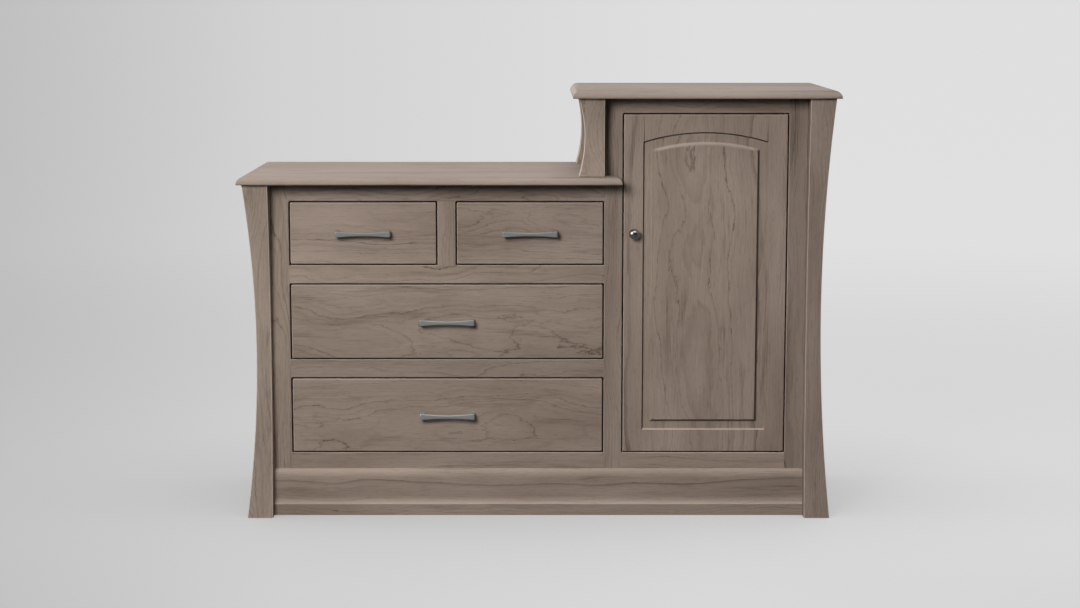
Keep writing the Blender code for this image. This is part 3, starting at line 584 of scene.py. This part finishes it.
def makeFaceFrame():
    rows = [openingSpan(f"drawer_front_{label}", 2) for label in ("bottom", "middle", "top_left")]
    doorRow = [(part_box("rail_bottom_tall")[1].z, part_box("rail_top_tall")[0].z)]
    wide = [openingSpan("drawer_front_middle", 0)]
    small = [openingSpan("drawer_front_top_left", 0), openingSpan("drawer_front_top_right", 0)]
    top = rows[-1:]
    doorSpan = [(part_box("stile_centre")[1].x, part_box("stile_right")[0].x)]
    up, rail, none = True, False, []
    side, sideUp = (seat, seat, 0, 0), (seat, seat, 0, seat)
    frameBoard("stile_left", up, (seat, 0, 0, seat), (none, rows))
    frameBoard("stile_centre", up, (0, 0, 0, seat), (rows, doorRow))
    frameBoard("stile_right", up, (0, seat, 0, seat), (doorRow, none))
    frameBoard("mullion", up, (0, 0, seat, seat), (top, top))
    frameBoard("rail_top_low", rail, sideUp, (small, none))
    frameBoard("rail_upper", rail, side, (wide, small))
    frameBoard("rail_lower", rail, side, (wide, wide))
    frameBoard("rail_bottom_low", rail, side, (none, wide))
    frameBoard("rail_top_tall", rail, sideUp, (doorSpan, none))
    frameBoard("rail_bottom_tall", rail, side, (none, doorSpan))


makeFaceFrame()
print("face frame made")


# Base moulding

base = {
    "plinthOut": 0.023, "faceOut": 0.016, "plinthHeight": 0.0295, "coveHeight": 0.0185, "roundStart": 0.095,
    "roundHeight": 0.023, "arris": 0.001, "steps": 12, "rubbedEdge": 0.4, "rubbed": 0.45,
}
baseWood = {
    "base_front": (36.7, 0.115, 0.04), "base_left": (39.3, 0.05, 0.08), "base_right": (41.5, 0.05, 0.09),
}


def baseProfile():
    # Rows of (out, height, painted light): the plinth, its rounded arris, a hollow quarter ellipse (without
    # its first two points, which the arris takes), the flat face, and a round quarter ellipse. The plinth's
    # arris, the hollow and the round get a painted highlight, strongest where they face up.
    plinth, face, arris = base["plinthOut"], base["faceOut"], base["arris"]
    low, start, rubbed = base["plinthHeight"], base["roundStart"], base["rubbed"]
    turn = quarterTurn(base["steps"])
    sine, cosine = np.sin(turn), np.cos(turn)
    inset, depth = easing(arris)
    cove = base["coveHeight"]
    hollow = zipped(plinth - (plinth - face) * sine, low + cove - cove * cosine, rubbed * cosine)
    return joined(
        [(seat, 0, 0), (plinth, 0, 0), (plinth, low - arris - margin, 0)],
        zipped(plinth - depth, low - inset, base["rubbedEdge"]),
        hollow[2:],
        [(face, low + cove + margin, 0), (face, start - margin, 0)],
        zipped(seat + (face - seat) * cosine, start + base["roundHeight"] * sine, rubbed * sine ** 2),
    )


def makeBase():
    out, rise, wearAndPaintedLight = baseProfile().T
    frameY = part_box("stile_left")[0].y
    runs = {
        "base_front": ("x", frameY - out, 0, "x on a front"),
        "base_left": ("y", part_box("side_panel_left")[0].x - out, 1, "y on a side"),
        "base_right": ("y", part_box("side_panel_right")[1].x + out, 1, "y on a side"),
    }
    for node, (axis, level, index, grain) in runs.items():
        low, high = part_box(node)
        outline = np.broadcast_to(zipped(level, rise), (2, len(rise), 2))
        wood = timber(node, stainedLook, grain, *baseWood[node])
        carry(node, outline, (low[index], high[index]), axis, wearAndPaintedLight, wood)


makeBase()
print("base made")


# Drawer fronts

wideFigure = {"Ring Width": 0.0085, "Ripple": 0.014, "Wander": 0.13}  # of drawer fronts and door
frontArris = 0.0014
drawers = {  # each front's place in its log and its tone, and where along theirs its box and floor lie
    "top_left": ((44.0, -0.045, 0.09, 1.09), 57.0, 114.2),
    "top_right": ((46.5, -0.035, 0.07, 1.0), 61.0, 116.2),
    "middle": ((49.2, 0.05, 0.08, 1.0), 65.0, 118.2),
    "bottom": ((53.1, 0.055, 0.08, 1.03), 69.0, 120.2),
}
for label, (place, _, _) in drawers.items():
    node = "drawer_front_" + label
    wood = timber(node, stainedLook, "x on a front", *place, **wideFigure)
    easedBoard(node, "y", frontArris, wood, paintsLight=True)
print("drawer fronts made")


# Drawer boxes, dovetailed at all four corners

drawerBox = {
    "wall": 0.012, "tailPitch": 0.034, "tailShare": 0.66, "tailFlare": 0.0022, "arris": 0.0004,
    "leastTails": 2, "sides": (0.05, 0.06), "ends": (0.06, 0.07, 0.93), "endsOnward": 3,
}


def boxSolids(low, high):
    # (outline in depth and height, where it starts and ends in x, 0 for a side or 1 for an end). Sides carry
    # the tails and ends carry the pins. A tail spans its middle -/+ half its width at the shoulder, and the
    # flare more at its tip; a pin fills what lies between two tails.
    wall = drawerBox["wall"]
    tails = max(drawerBox["leastTails"], round((high.z - low.z) / drawerBox["tailPitch"]))
    pitch = (high.z - low.z) / tails
    middles = low.z + pitch * (np.arange(tails)[:, None] + 0.5)
    atShoulder = pitch * drawerBox["tailShare"] / 2
    atTip = atShoulder + drawerBox["tailFlare"]
    levels = (middles + [-atShoulder, -atTip, atTip, atShoulder]).ravel()
    front, back = (low.y, low.y + wall), (high.y, high.y - wall)
    edges = [
        zipped(np.tile([inner, outer, outer, inner], tails), levels) for outer, inner in (front, back)
    ]
    sideOutline = joined(
        [(front[1], low.z)], edges[0], [(front[1], high.z), (back[1], high.z)], edges[1][::-1],
        [(back[1], low.z)],
    )
    walls = (low.x, low.x + wall), (high.x - wall, high.x)
    solids = [(sideOutline, span, 0) for span in walls]
    tips, roots = (
        joined([low.z], (middles + [-half, half]).ravel(), [high.z]).reshape(-1, 2)
        for half in (atTip, atShoulder)
    )
    for outer, inner in (front, back):
        body = [(outer, low.z), (outer, high.z), (inner, high.z), (inner, low.z)]
        solids.append((body, (low.x + wall, high.x - wall), 1))
        for (tipLow, tipHigh), (rootLow, rootHigh) in zip(tips, roots):
            pin = [(outer, tipLow), (outer, tipHigh), (inner, rootHigh), (inner, rootLow)]
            solids += [(pin, span, 1) for span in walls]
    return solids


def makeDrawerBox(label, along):
    node = "drawer_box_" + label
    points, faces, kinds = [], [], []
    for outline, span, kind in boxSolids(*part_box(node)):
        start, count = len(points), len(outline)
        points += [(x, *spot) for x in span for spot in outline]
        made = [[start + index for index in face] for face in tubeFaces(2, count)]
        faces += made
        kinds += [kind] * len(made)
    mesh = newMesh(pieceName(node), np.array(points), faces)
    mesh.polygons.foreach_set("material_index", kinds)
    turnOutwards(mesh, False)
    sides = timber(node, clearLook, "y on a side", along, *drawerBox["sides"], suffix="Sides")
    along += drawerBox["endsOnward"]
    ends = timber(node, clearLook, "x on a front", along, *drawerBox["ends"], suffix="Ends")
    piece = showPiece(node, mesh, "inside_wood", sides, ends)
    ease = piece.modifiers.new("eased edges", "BEVEL")
    ease.width = drawerBox["arris"]
    ease.segments = 1
    ease.limit_method = "ANGLE"


for label, (_, along, _) in drawers.items():
    makeDrawerBox(label, along)
print("drawer boxes made")


# Pulls and knob

pull = {
    "length": 0.1395, "holeSpacing": 0.128, "projection": 0.028, "barThickness": 0.007, "endHeight": 0.0152,
    "waistHeight": 0.0085, "cornerRadius": 0.0035, "innerRadius": 0.0055, "arris": 0.0028, "bevel": 0.0026,
    "backArris": 0.0012, "cornerSteps": 10, "barSteps": 36, "arrisSteps": 5,
}
knob = {
    "diameter": 0.027, "projection": 0.032, "neck": 0.0055, "footRadius": 0.0085, "foot": 0.002, "sides": 64,
    "footRound": 0.6, "footSteps": 4, "neckFlare": 0.0008, "neckWaist": 0.0003, "ballSteps": 32,
}
nickel = metal("satinNickel", (154, 157, 157), 0.30, 0.08, 0.6)
polished = metal("polishedNickel", (160, 162, 162), 0.18, 0.03)


def standingOut(node, x, out, rise):
    # Points from the middle of a node's back: sideways, out of the front and up
    low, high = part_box(node)
    return zipped((low.x + high.x) / 2 + x, high.y - out, (low.z + high.z) / 2 + rise)


def pullEdges():
    # Matching points, seen from above, on the bar's outer and inner line: foot, quarter circle, straight,
    # and back
    half = pull["length"] / 2
    innerHalf = pull["holeSpacing"] - half
    turn = math.pi - quarterTurn(pull["cornerSteps"])
    quarter = zipped(np.cos(turn), np.sin(turn))
    lines = []
    for start, top, radius in (
        (half, pull["projection"], pull["cornerRadius"]),
        (innerHalf, pull["projection"] - pull["barThickness"], pull["innerRadius"]),
    ):
        centre = np.array([radius - start, top - radius])
        straight = np.linspace(centre[0], -centre[0], pull["barSteps"] + 1)[1:-1]
        left = joined([(-start, 0.0)], centre + radius * quarter)
        bar = zipped(straight, top)
        lines.append(joined(left, bar, left[::-1] * (-1, 1)))
    return lines


def pullSection():
    # Round the bar: (share of half the height, rise to add, share of the thickness, depth to add). Front
    # corners are quarter ellipses, arris high and bevel deep, and back ones are quarter circles.
    arris, bevel, backArris = pull["arris"], pull["bevel"], pull["backArris"]
    inset, depth = easing(1, pull["arrisSteps"])
    front = zipped(1, -arris * inset, 0, bevel * depth)
    back = zipped(1, -backArris * depth, 1, -backArris * inset)
    upper = joined(front, back)
    return joined(upper, upper[::-1] * (-1, -1, 1, 1))


def makePull(label):
    # The height falls from the ends to the waist by 1 - (x / half length)^2
    node = "pull_" + label
    outer, inner = pullEdges()
    section = pullSection()
    waist = 1 - (2 * outer[:, 0] / pull["length"]) ** 2
    height = (pull["endHeight"] + (pull["waistHeight"] - pull["endHeight"]) * waist)[:, None]
    thickness = np.linalg.norm(inner - outer, axis=1)[:, None]
    depth = section[:, 2] * thickness + section[:, 3]
    place = outer[:, None] + (inner - outer)[:, None] * (depth / thickness)[..., None]
    rise = section[:, 0] * height / 2 + section[:, 1]
    points = standingOut(node, place[..., 0], place[..., 1], rise)
    makePiece(node, points, tubeFaces(*points.shape[:2]), None, nickel, "satin_nickel")


def makeKnob():
    # A profile (radius, out) turned about the line that stands out of the door: foot, neck and ball
    ball, neck, foot = knob["diameter"] / 2, knob["neck"], knob["foot"]
    ballOut = knob["projection"] - ball
    inset, depth = easing(foot * knob["footRound"], knob["footSteps"])
    footEdge = zipped(knob["footRadius"] - depth, foot - inset)
    start = math.asin(neck / ball)
    waistOut = (foot + ballOut - ball * math.cos(start)) / 2
    waist = np.array([(neck + knob["neckFlare"], foot), (neck - knob["neckWaist"], waistOut)])
    turn = np.linspace(start, math.pi, knob["ballSteps"] + 1)
    globe = zipped(ball * np.sin(turn), ballOut - ball * np.cos(turn))
    profile = joined([(knob["footRadius"], 0)], footEdge, waist, globe)
    around = np.linspace(0, 2 * math.pi, knob["sides"], endpoint=False)
    radius, out = profile[:, :1], profile[:, 1:]
    points = standingOut("door_knob", radius * np.cos(around), out, radius * np.sin(around))
    faces = gridFaces(len(profile), knob["sides"], True).tolist() + [list(range(knob["sides"]))]
    makePiece("door_knob", points, faces, None, polished, "satin_nickel")


for label in drawers:
    makePull(label)
makeKnob()
print("pulls and knob made")


# Door: the frame's face slopes down to the panel round the opening, and the panel swells up to its field

# slopes gives the painted light of the slopes round the opening (left, right, sill, arch): painted shade
# below 0, a painted highlight above; dark is the swell's painted shade, and bandBend and bowEnd shape its
# painted highlight at the arch
door = {
    "topRail": 0.0474, "archRise": 0.0231, "sticking": 0.0032, "stickingDepth": 0.0076, "stickingBend": 1.1,
    "arris": 0.0014, "tongueOut": 0.0087, "tongueFront": 0.0078, "tongueBack": 0.0132, "fieldInset": 0.0245,
    "topStretch": 1.24, "fieldDepth": 0.0004, "swell": 0.0078, "swellBend": 1.7, "steps": 8, "arrisSteps": 4,
    "swellSteps": 18, "archSteps": 56, "sideSteps": 13, "mitre": 0.003, "wornFrom": 0.2, "near": 0.00001,
    "slopes": (-0.8, 0.0, 0.9, -0.8), "dark": -0.7, "bandBend": 0.7, "bowEnd": 8,
}
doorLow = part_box("door_stile_left")[0]
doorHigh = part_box("door_stile_right")[1]
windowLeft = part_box("door_stile_left")[1].x + seat
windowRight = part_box("door_stile_right")[0].x - seat
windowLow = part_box("door_rail_bottom")[1].z + seat
windowHigh = doorHigh.z - door["topRail"]
windowHalf = (windowRight - windowLeft) / 2
archX = (windowLeft + windowRight) / 2
archRadius = (windowHalf ** 2 + door["archRise"] ** 2) / (2 * door["archRise"])
archZ = windowHigh - archRadius
doorPlace = (82.6, 0.03, 0.15, 1.04)
doorWood = timber("door", stainedLook, "z on a front", *doorPlace, box=(doorLow, doorHigh), **wideFigure)


def doorFace(x, z):
    # Depth of the frame's face, and its wear and painted light. outset is how far a point lies outside the
    # opening: its largest distance past a side, the sill or the arch. The face falls by depth * share^bend
    # towards it, and the door's outer edges round over by arris * (1 - sqrt(1 - share^2)). The outer arris
    # is paler with wear and a painted highlight, but gets painted shade on the right and bottom; the slopes
    # round the opening get painted shade on the left and under the arch and a painted highlight on the sill.
    sides = [windowLeft - x, x - windowRight, windowLow - z, np.hypot(x - archX, z - archZ) - archRadius]
    outset = np.maximum.reduce(sides)
    share = np.clip(1 - outset / door["sticking"], 0, 1)
    fall = door["stickingDepth"] * share ** door["stickingBend"]
    edges = [x - doorLow.x, doorHigh.x - x, z - doorLow.z, doorHigh.z - z]
    inset = np.minimum.reduce(edges)
    share = np.clip(1 - inset / door["arris"], 0, 1)
    over = door["arris"] * (1 - np.sqrt(1 - share ** 2))
    dark = np.minimum(edges[1], edges[2]) <= inset + door["near"]
    wearAndPaintedLight = (share > door["wornFrom"]) * np.where(dark, -1.0, 1.0)
    for side, tone in zip(sides, door["slopes"]):
        wearAndPaintedLight = np.where((fall > 0) & (side >= outset - door["near"]), tone, wearAndPaintedLight)
    return doorLow.y + np.maximum(fall, over), wearAndPaintedLight


def heightSlab(node, x, z):
    # The door's face over a grid of places, with straight sides to a flat back
    y, wearAndPaintedLight = doorFace(x, z)
    rows, columns = x.shape
    index = np.arange(rows * columns).reshape(rows, columns)
    rim = joined(index[0, :-1], index[:-1, -1], index[-1, :0:-1], index[:0:-1, 0])
    front = zipped(x, y, z).reshape(-1, 3)
    back = front[rim] * (1, 0, 1) + (0, doorHigh.y, 0)
    backIndex = rows * columns + np.arange(len(rim))
    sides = zipped(rim, np.roll(rim, -1), np.roll(backIndex, -1), backIndex)
    faces = gridFaces(rows, columns).tolist() + sides.tolist() + [backIndex.tolist()]
    wearAndPaintedLight = joined(wearAndPaintedLight.ravel(), np.zeros(len(rim)))
    makePiece(node, joined(front, back), faces, wearAndPaintedLight, doorWood)


def doorSteps():
    # Distances from a rounded outer edge, crowded towards the edge, and outsets across the slope
    inset, _ = easing(door["arris"], door["arrisSteps"])
    outer = np.append(inset[::-1], door["arris"] + margin)
    slope = np.linspace(0, door["sticking"], door["steps"] + 1)
    return outer, np.append(slope, door["sticking"] + margin)


def makeDoorFrame():
    outer, sticking = doorSteps()
    spring = archZ + np.sqrt((archRadius + sticking) ** 2 - (windowHalf + sticking) ** 2)
    between = np.linspace(windowLow, spring[0], door["sideSteps"] + 1)[1:-1]
    foot = joined(doorLow.z + outer, (windowLow - sticking)[::-1])
    head = (doorHigh.z - outer)[::-1]
    uprights = joined(foot, between, spring, head)
    for node, x in (
        ("door_stile_left", joined(doorLow.x + outer, (windowLeft - sticking)[::-1])),
        ("door_stile_right", joined(windowRight + sticking, (doorHigh.x - outer)[::-1])),
    ):
        heightSlab(node, *np.meshgrid(x, uprights))
    across = np.linspace(windowLeft, windowRight, door["archSteps"] + 1)
    heightSlab("door_rail_bottom", *np.meshgrid(across, foot))
    arch = archZ + np.sqrt((archRadius + sticking[:, None]) ** 2 - (across - archX) ** 2)
    z = joined(arch, np.broadcast_to(head[:, None], (len(head), len(across))))
    heightSlab("door_rail_top", np.broadcast_to(across, z.shape), z)


def makeDoorPanel():
    # Rings of the opening's outline, moved in by a growing inset: tongue, flat, then the swell, which rises
    # by 3u^2 - 2u^3 of the share u = t^bend of its width, and the field. The arch's insets are stretched.
    # The swell has a painted highlight at the arch, which fades at its ends, and painted shade at the sill
    # and on the right.
    front, field = door["tongueFront"], door["fieldInset"]
    across = np.linspace(0, 1, door["swellSteps"] + 1)
    share = across ** door["swellBend"]
    swell = (front - door["fieldDepth"]) * (3 * share ** 2 - 2 * share ** 3)
    out, foot = -door["tongueOut"], field - door["swell"]
    inset = joined([out, out, foot - margin], foot + door["swell"] * across, [field + margin])
    depth = joined([door["tongueBack"], front, front], front - swell, [door["fieldDepth"]])
    band = joined([0, 0, 0], np.sin(math.pi * across) ** door["bandBend"], [0])[:, None]
    spans = np.linspace(-1, 1, door["archSteps"] + 1)
    bow = np.clip(door["bowEnd"] * (1 - np.abs(spans)), 0, 1)
    bow[0] = door["dark"]
    wearAndPaintedLight = band * joined([0, door["dark"], door["dark"]], bow)
    topInset = np.where(inset > 0, inset * door["topStretch"], inset)
    half, reach = windowHalf - inset, archRadius - topInset
    spread, reach = np.arcsin(half / reach)[:, None] * -spans, reach[:, None]
    archPoints = zipped(archX + reach * np.sin(spread), archZ + reach * np.cos(spread))
    sillX = zipped(archX - half, archX - half, archX + half)
    sillZ = windowLow + zipped(inset + door["mitre"], inset, inset)
    sill = zipped(sillX, sillZ)
    outline = joined(sill, archPoints, axis=1)
    carry("door_panel", outline, doorLow.y + depth, "y", wearAndPaintedLight, doorWood)


makeDoorFrame()
makeDoorPanel()
print("door made")


# Boards that keep their CAD shape, each with its own wood

keptBoards = [  # look, grain, and where along its log each board lies
    (stainedLook, "z on a side", {
        "side_panel_left": 90.0, "side_panel_right": 92.2, "side_panel_upper": 94.4,
    }),
    (clearLook, "z on a side", {"partition": 96.6, "inner_side": 98.8}),
    (clearLook, "x on a top", {
        "bottom_panel": 101.0, "drawer_shelf_lower": 103.2, "drawer_shelf_upper": 105.4,
    }),
    (clearLook, "y on a side", {"centre_guide": 107.6}),
    (plyLook, "z on a front", {"back_panel_low": 109.8, "back_panel_tall": 112.0}),
]
keptHeart, floorHeart, shelfHeart = (0.08, 0.09), (0.10, 0.12), (0.08, 0.10)
shelfPlaces, shelfArris = {"shelf_lower": 123.0, "shelf_upper": 125.0}, 0.0015


def dress(node, material):
    frame["nodes"][node].material_slots[0].material = material


for look, grain, boards in keptBoards:
    for node, along in boards.items():
        dress(node, timber(node, look, grain, along, *keptHeart))
for label, (_, _, along) in drawers.items():
    node = "drawer_floor_" + label
    dress(node, timber(node, clearLook, "x on a top", along, *floorHeart))
steel = metal("hingeSteel", (150, 148, 140), 0.35, 0.12)
for node in ("hinge_leaf_top", "hinge_leaf_bottom", "hinge_pin_top", "hinge_pin_bottom"):
    dress(node, steel)
for node, along in shelfPlaces.items():
    wood = timber(node, clearLook, "x on a top", along, *shelfHeart)
    easedBoard(node, "z", shelfArris, wood, "inside_wood")
print("inside dressed")


# Stage: a pale floor that fades into the distance, four soft lamps and a sky that is brighter behind

stage = {
    "rings": 24, "spokes": 96, "firstRing": 0.25, "lastRing": 900.0, "below": 0.0002, "fanY": -5.554,
    "fan": ((-0.26, 188), (-0.20, 197), (-0.12, 209), (0.0, 217), (0.08, 222), (0.3, 222)),
    "fanDeep": (0.5, 4.3), "fanWide": (0.5, 0.85), "fanSoft": 0.5, "light": (1.5, 7.0, 0.86, 1.0),
    "floorTone": 0.07, "bounceTone": 0.10, "far": 222, "contactReach": 0.9, "contactDepth": 0.42,
    "contactSamples": 4, "front": (-0.2, 0.1, 0.08, 1.0), "foot": (-1.2, -0.3, 0.92, 1.0),
}
lamps = {  # direction from the dresser in degrees (left of the front, up), distance, size and level there
    "key": (20, 23, 4.0, 1.4, 1.06),
    "overhead": (8, 80, 3.8, 3.0, 0.77),
    "sideLeft": (95, 30, 4.4, 2.6, 0.62),
    "fillRight": (-78, 15, 6.0, 2.5, 0.10),
}
aim = (0.0, -0.1, 0.55)
# The light that the sky gives all round and from behind, and what gloss shows of it
sky = {"light": 0.03, "behind": 4.5, "front": 0.05, "left": 4.0, "above": 3.0}
skyEdge = {  # where the sky's parts begin and end, by the sideways, deep or upward part of a direction
    "behind": (-0.35, 0.1), "leftAside": (-0.40, -0.70), "leftUp": (-0.05, 0.3),
    "aboveLow": (0.5, 0.85, 0.0, 0.5), "aboveHigh": (0.9, 0.99, 0.0, 0.5), "rearDeep": (0.0, 0.4),
    "rearUp": (0.3, 0.1),
}


def distanceOf(tree, x, y, softness=0.0):
    square = sums(tree, "MULTIPLY_ADD", x, x, sums(tree, "MULTIPLY_ADD", y, y, softness))
    return sums(tree, "SQRT", square)


def grey(value):
    return (value, value, value, 1.0)


def backdropTone(tree, aside, deep, softness):
    # The backdrop's grey by x / distance from the photograph's camera, seen from above; it fades away from
    # the camera's view, where y / distance falls below fanWide
    distance = distanceOf(tree, aside, deep, softness)
    ahead = mapRange(tree, sums(tree, "DIVIDE", deep, distance), *stage["fanWide"], smooth=True)
    fan = product(tree, sums(tree, "DIVIDE", aside, distance), ahead)
    first, last = stage["fan"][0][0], stage["fan"][-1][0]
    ramp = addNode(tree, "ValToRGB", {0: mapRange(tree, fan, first, last)})
    stops = ramp.color_ramp.elements
    while len(stops) < len(stage["fan"]):
        stops.new(0.5)
    for stop, (where, tone) in zip(stops, stage["fan"]):
        stop.position = (where - first) / (last - first)
        stop.color = shade(tone, tone, tone)
    return ramp.outputs[0]


def makeFloor():
    # Rings whose radius grows by one factor from each to the next
    radius = np.geomspace(stage["firstRing"], stage["lastRing"], stage["rings"])[:, None]
    around = np.linspace(0, 2 * math.pi, stage["spokes"], endpoint=False)
    points = zipped(radius * np.cos(around), radius * np.sin(around), -stage["below"])
    faces = gridFaces(*points.shape[:2], True).tolist() + [list(range(stage["spokes"]))]
    mesh = newMesh("floor", points, faces)
    floor = addObject("floor", mesh)
    material, tree, shader = newMaterial("paleFloor")
    tree.nodes.remove(shader)
    path = addNode(tree, "LightPath").outputs
    x, y, _ = separate(tree, placeOf(tree))
    deep = sums(tree, "SUBTRACT", y, stage["fanY"])
    aside = product(tree, x, mapRange(tree, deep, *stage["fanDeep"], smooth=True))
    tone = backdropTone(tree, aside, deep, stage["fanSoft"])
    # Its own light, darker with painted shade near and under the object and in front of it, dim there in
    # reflections
    level = mapRange(tree, distanceOf(tree, x, y), *stage["light"], True)
    feeds, samples = {"Distance": stage["contactReach"]}, stage["contactSamples"]
    near = addNode(tree, "AmbientOcclusion", feeds, samples=samples).outputs["AO"]
    contact = sums(tree, "MULTIPLY_ADD", near, stage["contactDepth"], 1 - stage["contactDepth"])
    front = mapRange(tree, y, *stage["front"], True)
    front = sums(tree, "MAXIMUM", front, sums(tree, "SUBTRACT", 1.0, path["Is Glossy Ray"]))
    level = product(tree, level, contact, front, mapRange(tree, y, *stage["foot"], True))
    lit = addNode(tree, "BsdfDiffuse", {"Color": grey(stage["floorTone"])})
    own = addNode(tree, "Emission", {"Color": tone, "Strength": level})
    seen = addNode(tree, "AddShader", {0: lit.outputs[0], 1: own.outputs[0]})
    bounce = addNode(tree, "BsdfDiffuse", {"Color": grey(stage["bounceTone"])})
    shown = sums(tree, "MAXIMUM", path["Is Glossy Ray"], path["Is Transmission Ray"])
    shown = sums(tree, "MAXIMUM", path["Is Camera Ray"], shown)
    mix = addNode(tree, "MixShader", {0: shown, 1: bounce.outputs[0], 2: seen.outputs[0]})
    feed(tree, tree.nodes["Material Output"], {"Surface": mix.outputs[0]})
    mesh.materials.append(material)


def makeLamps():
    # A disc lamp lights what faces it at a level of power / (pi * distance)^2
    for name, (left, up, distance, size, level) in lamps.items():
        lamp = bpy.data.lights.new(name, "AREA")
        lamp.shape = "DISK"
        lamp.size = size
        lamp.energy = level * (math.pi * distance) ** 2
        holder = addObject(name, lamp)
        left, up = math.radians(left), math.radians(up)
        way = Vector((-math.sin(left) * math.cos(up), -math.cos(left) * math.cos(up), math.sin(up)))
        holder.location = [aim[axis] + distance * way[axis] for axis in range(3)]
        holder.rotation_mode = "QUATERNION"
        holder.rotation_quaternion = way.to_track_quat("Z", "Y")
        holder.visible_camera = False
        holder.visible_glossy = False


def makeSky():
    world = bpy.data.worlds.new("sky")
    bpy.context.scene.world = world
    world.use_nodes = True
    tree = world.node_tree
    path = addNode(tree, "LightPath").outputs
    x, y, z = separate(tree, placeOf(tree, "Generated"))

    def mask(*parts):
        # The product of smooth masks, each by one part of the direction
        return product(tree, *(mapRange(tree, value, *skyEdge[name], smooth=True) for value, name in parts))

    left = mask((x, "leftAside"), (z, "leftUp"))
    above = sums(tree, "ADD", mask((z, "aboveLow")), mask((z, "aboveHigh")))
    far = shade(stage["far"], stage["far"], stage["far"])
    room = blend(tree, mapRange(tree, y, *skyEdge["behind"]), grey(sky["front"]), far)
    room = blend(tree, left, room, grey(sky["left"]))
    room = blend(tree, above, room, grey(sky["above"]))
    rear = sums(tree, "MULTIPLY_ADD", mask((y, "rearDeep"), (z, "rearUp")), sky["behind"], sky["light"])
    colour = blend(tree, path["Is Glossy Ray"], rear, room)
    colour = blend(tree, path["Is Camera Ray"], colour, backdropTone(tree, x, y, 0.0))
    feed(tree, tree.nodes["Background"], {"Color": colour})


makeFloor()
makeLamps()
makeSky()

# The photograph's camera
camera = {"place": (0.0041, -5.5543, 1.3063), "down": 8.089, "lens": 71.07, "sensor": 36.0, "far": 2000.0}
lens = bpy.data.cameras.new("camera")
lens.lens = camera["lens"]
lens.sensor_width = camera["sensor"]
lens.clip_end = camera["far"]
eye = addObject("camera", lens)
eye.location = camera["place"]
eye.rotation_euler = (math.radians(90 - camera["down"]), 0, 0)
bpy.context.scene.camera = eye
bpy.context.scene.view_settings.view_transform = "Standard"
print("stage set")
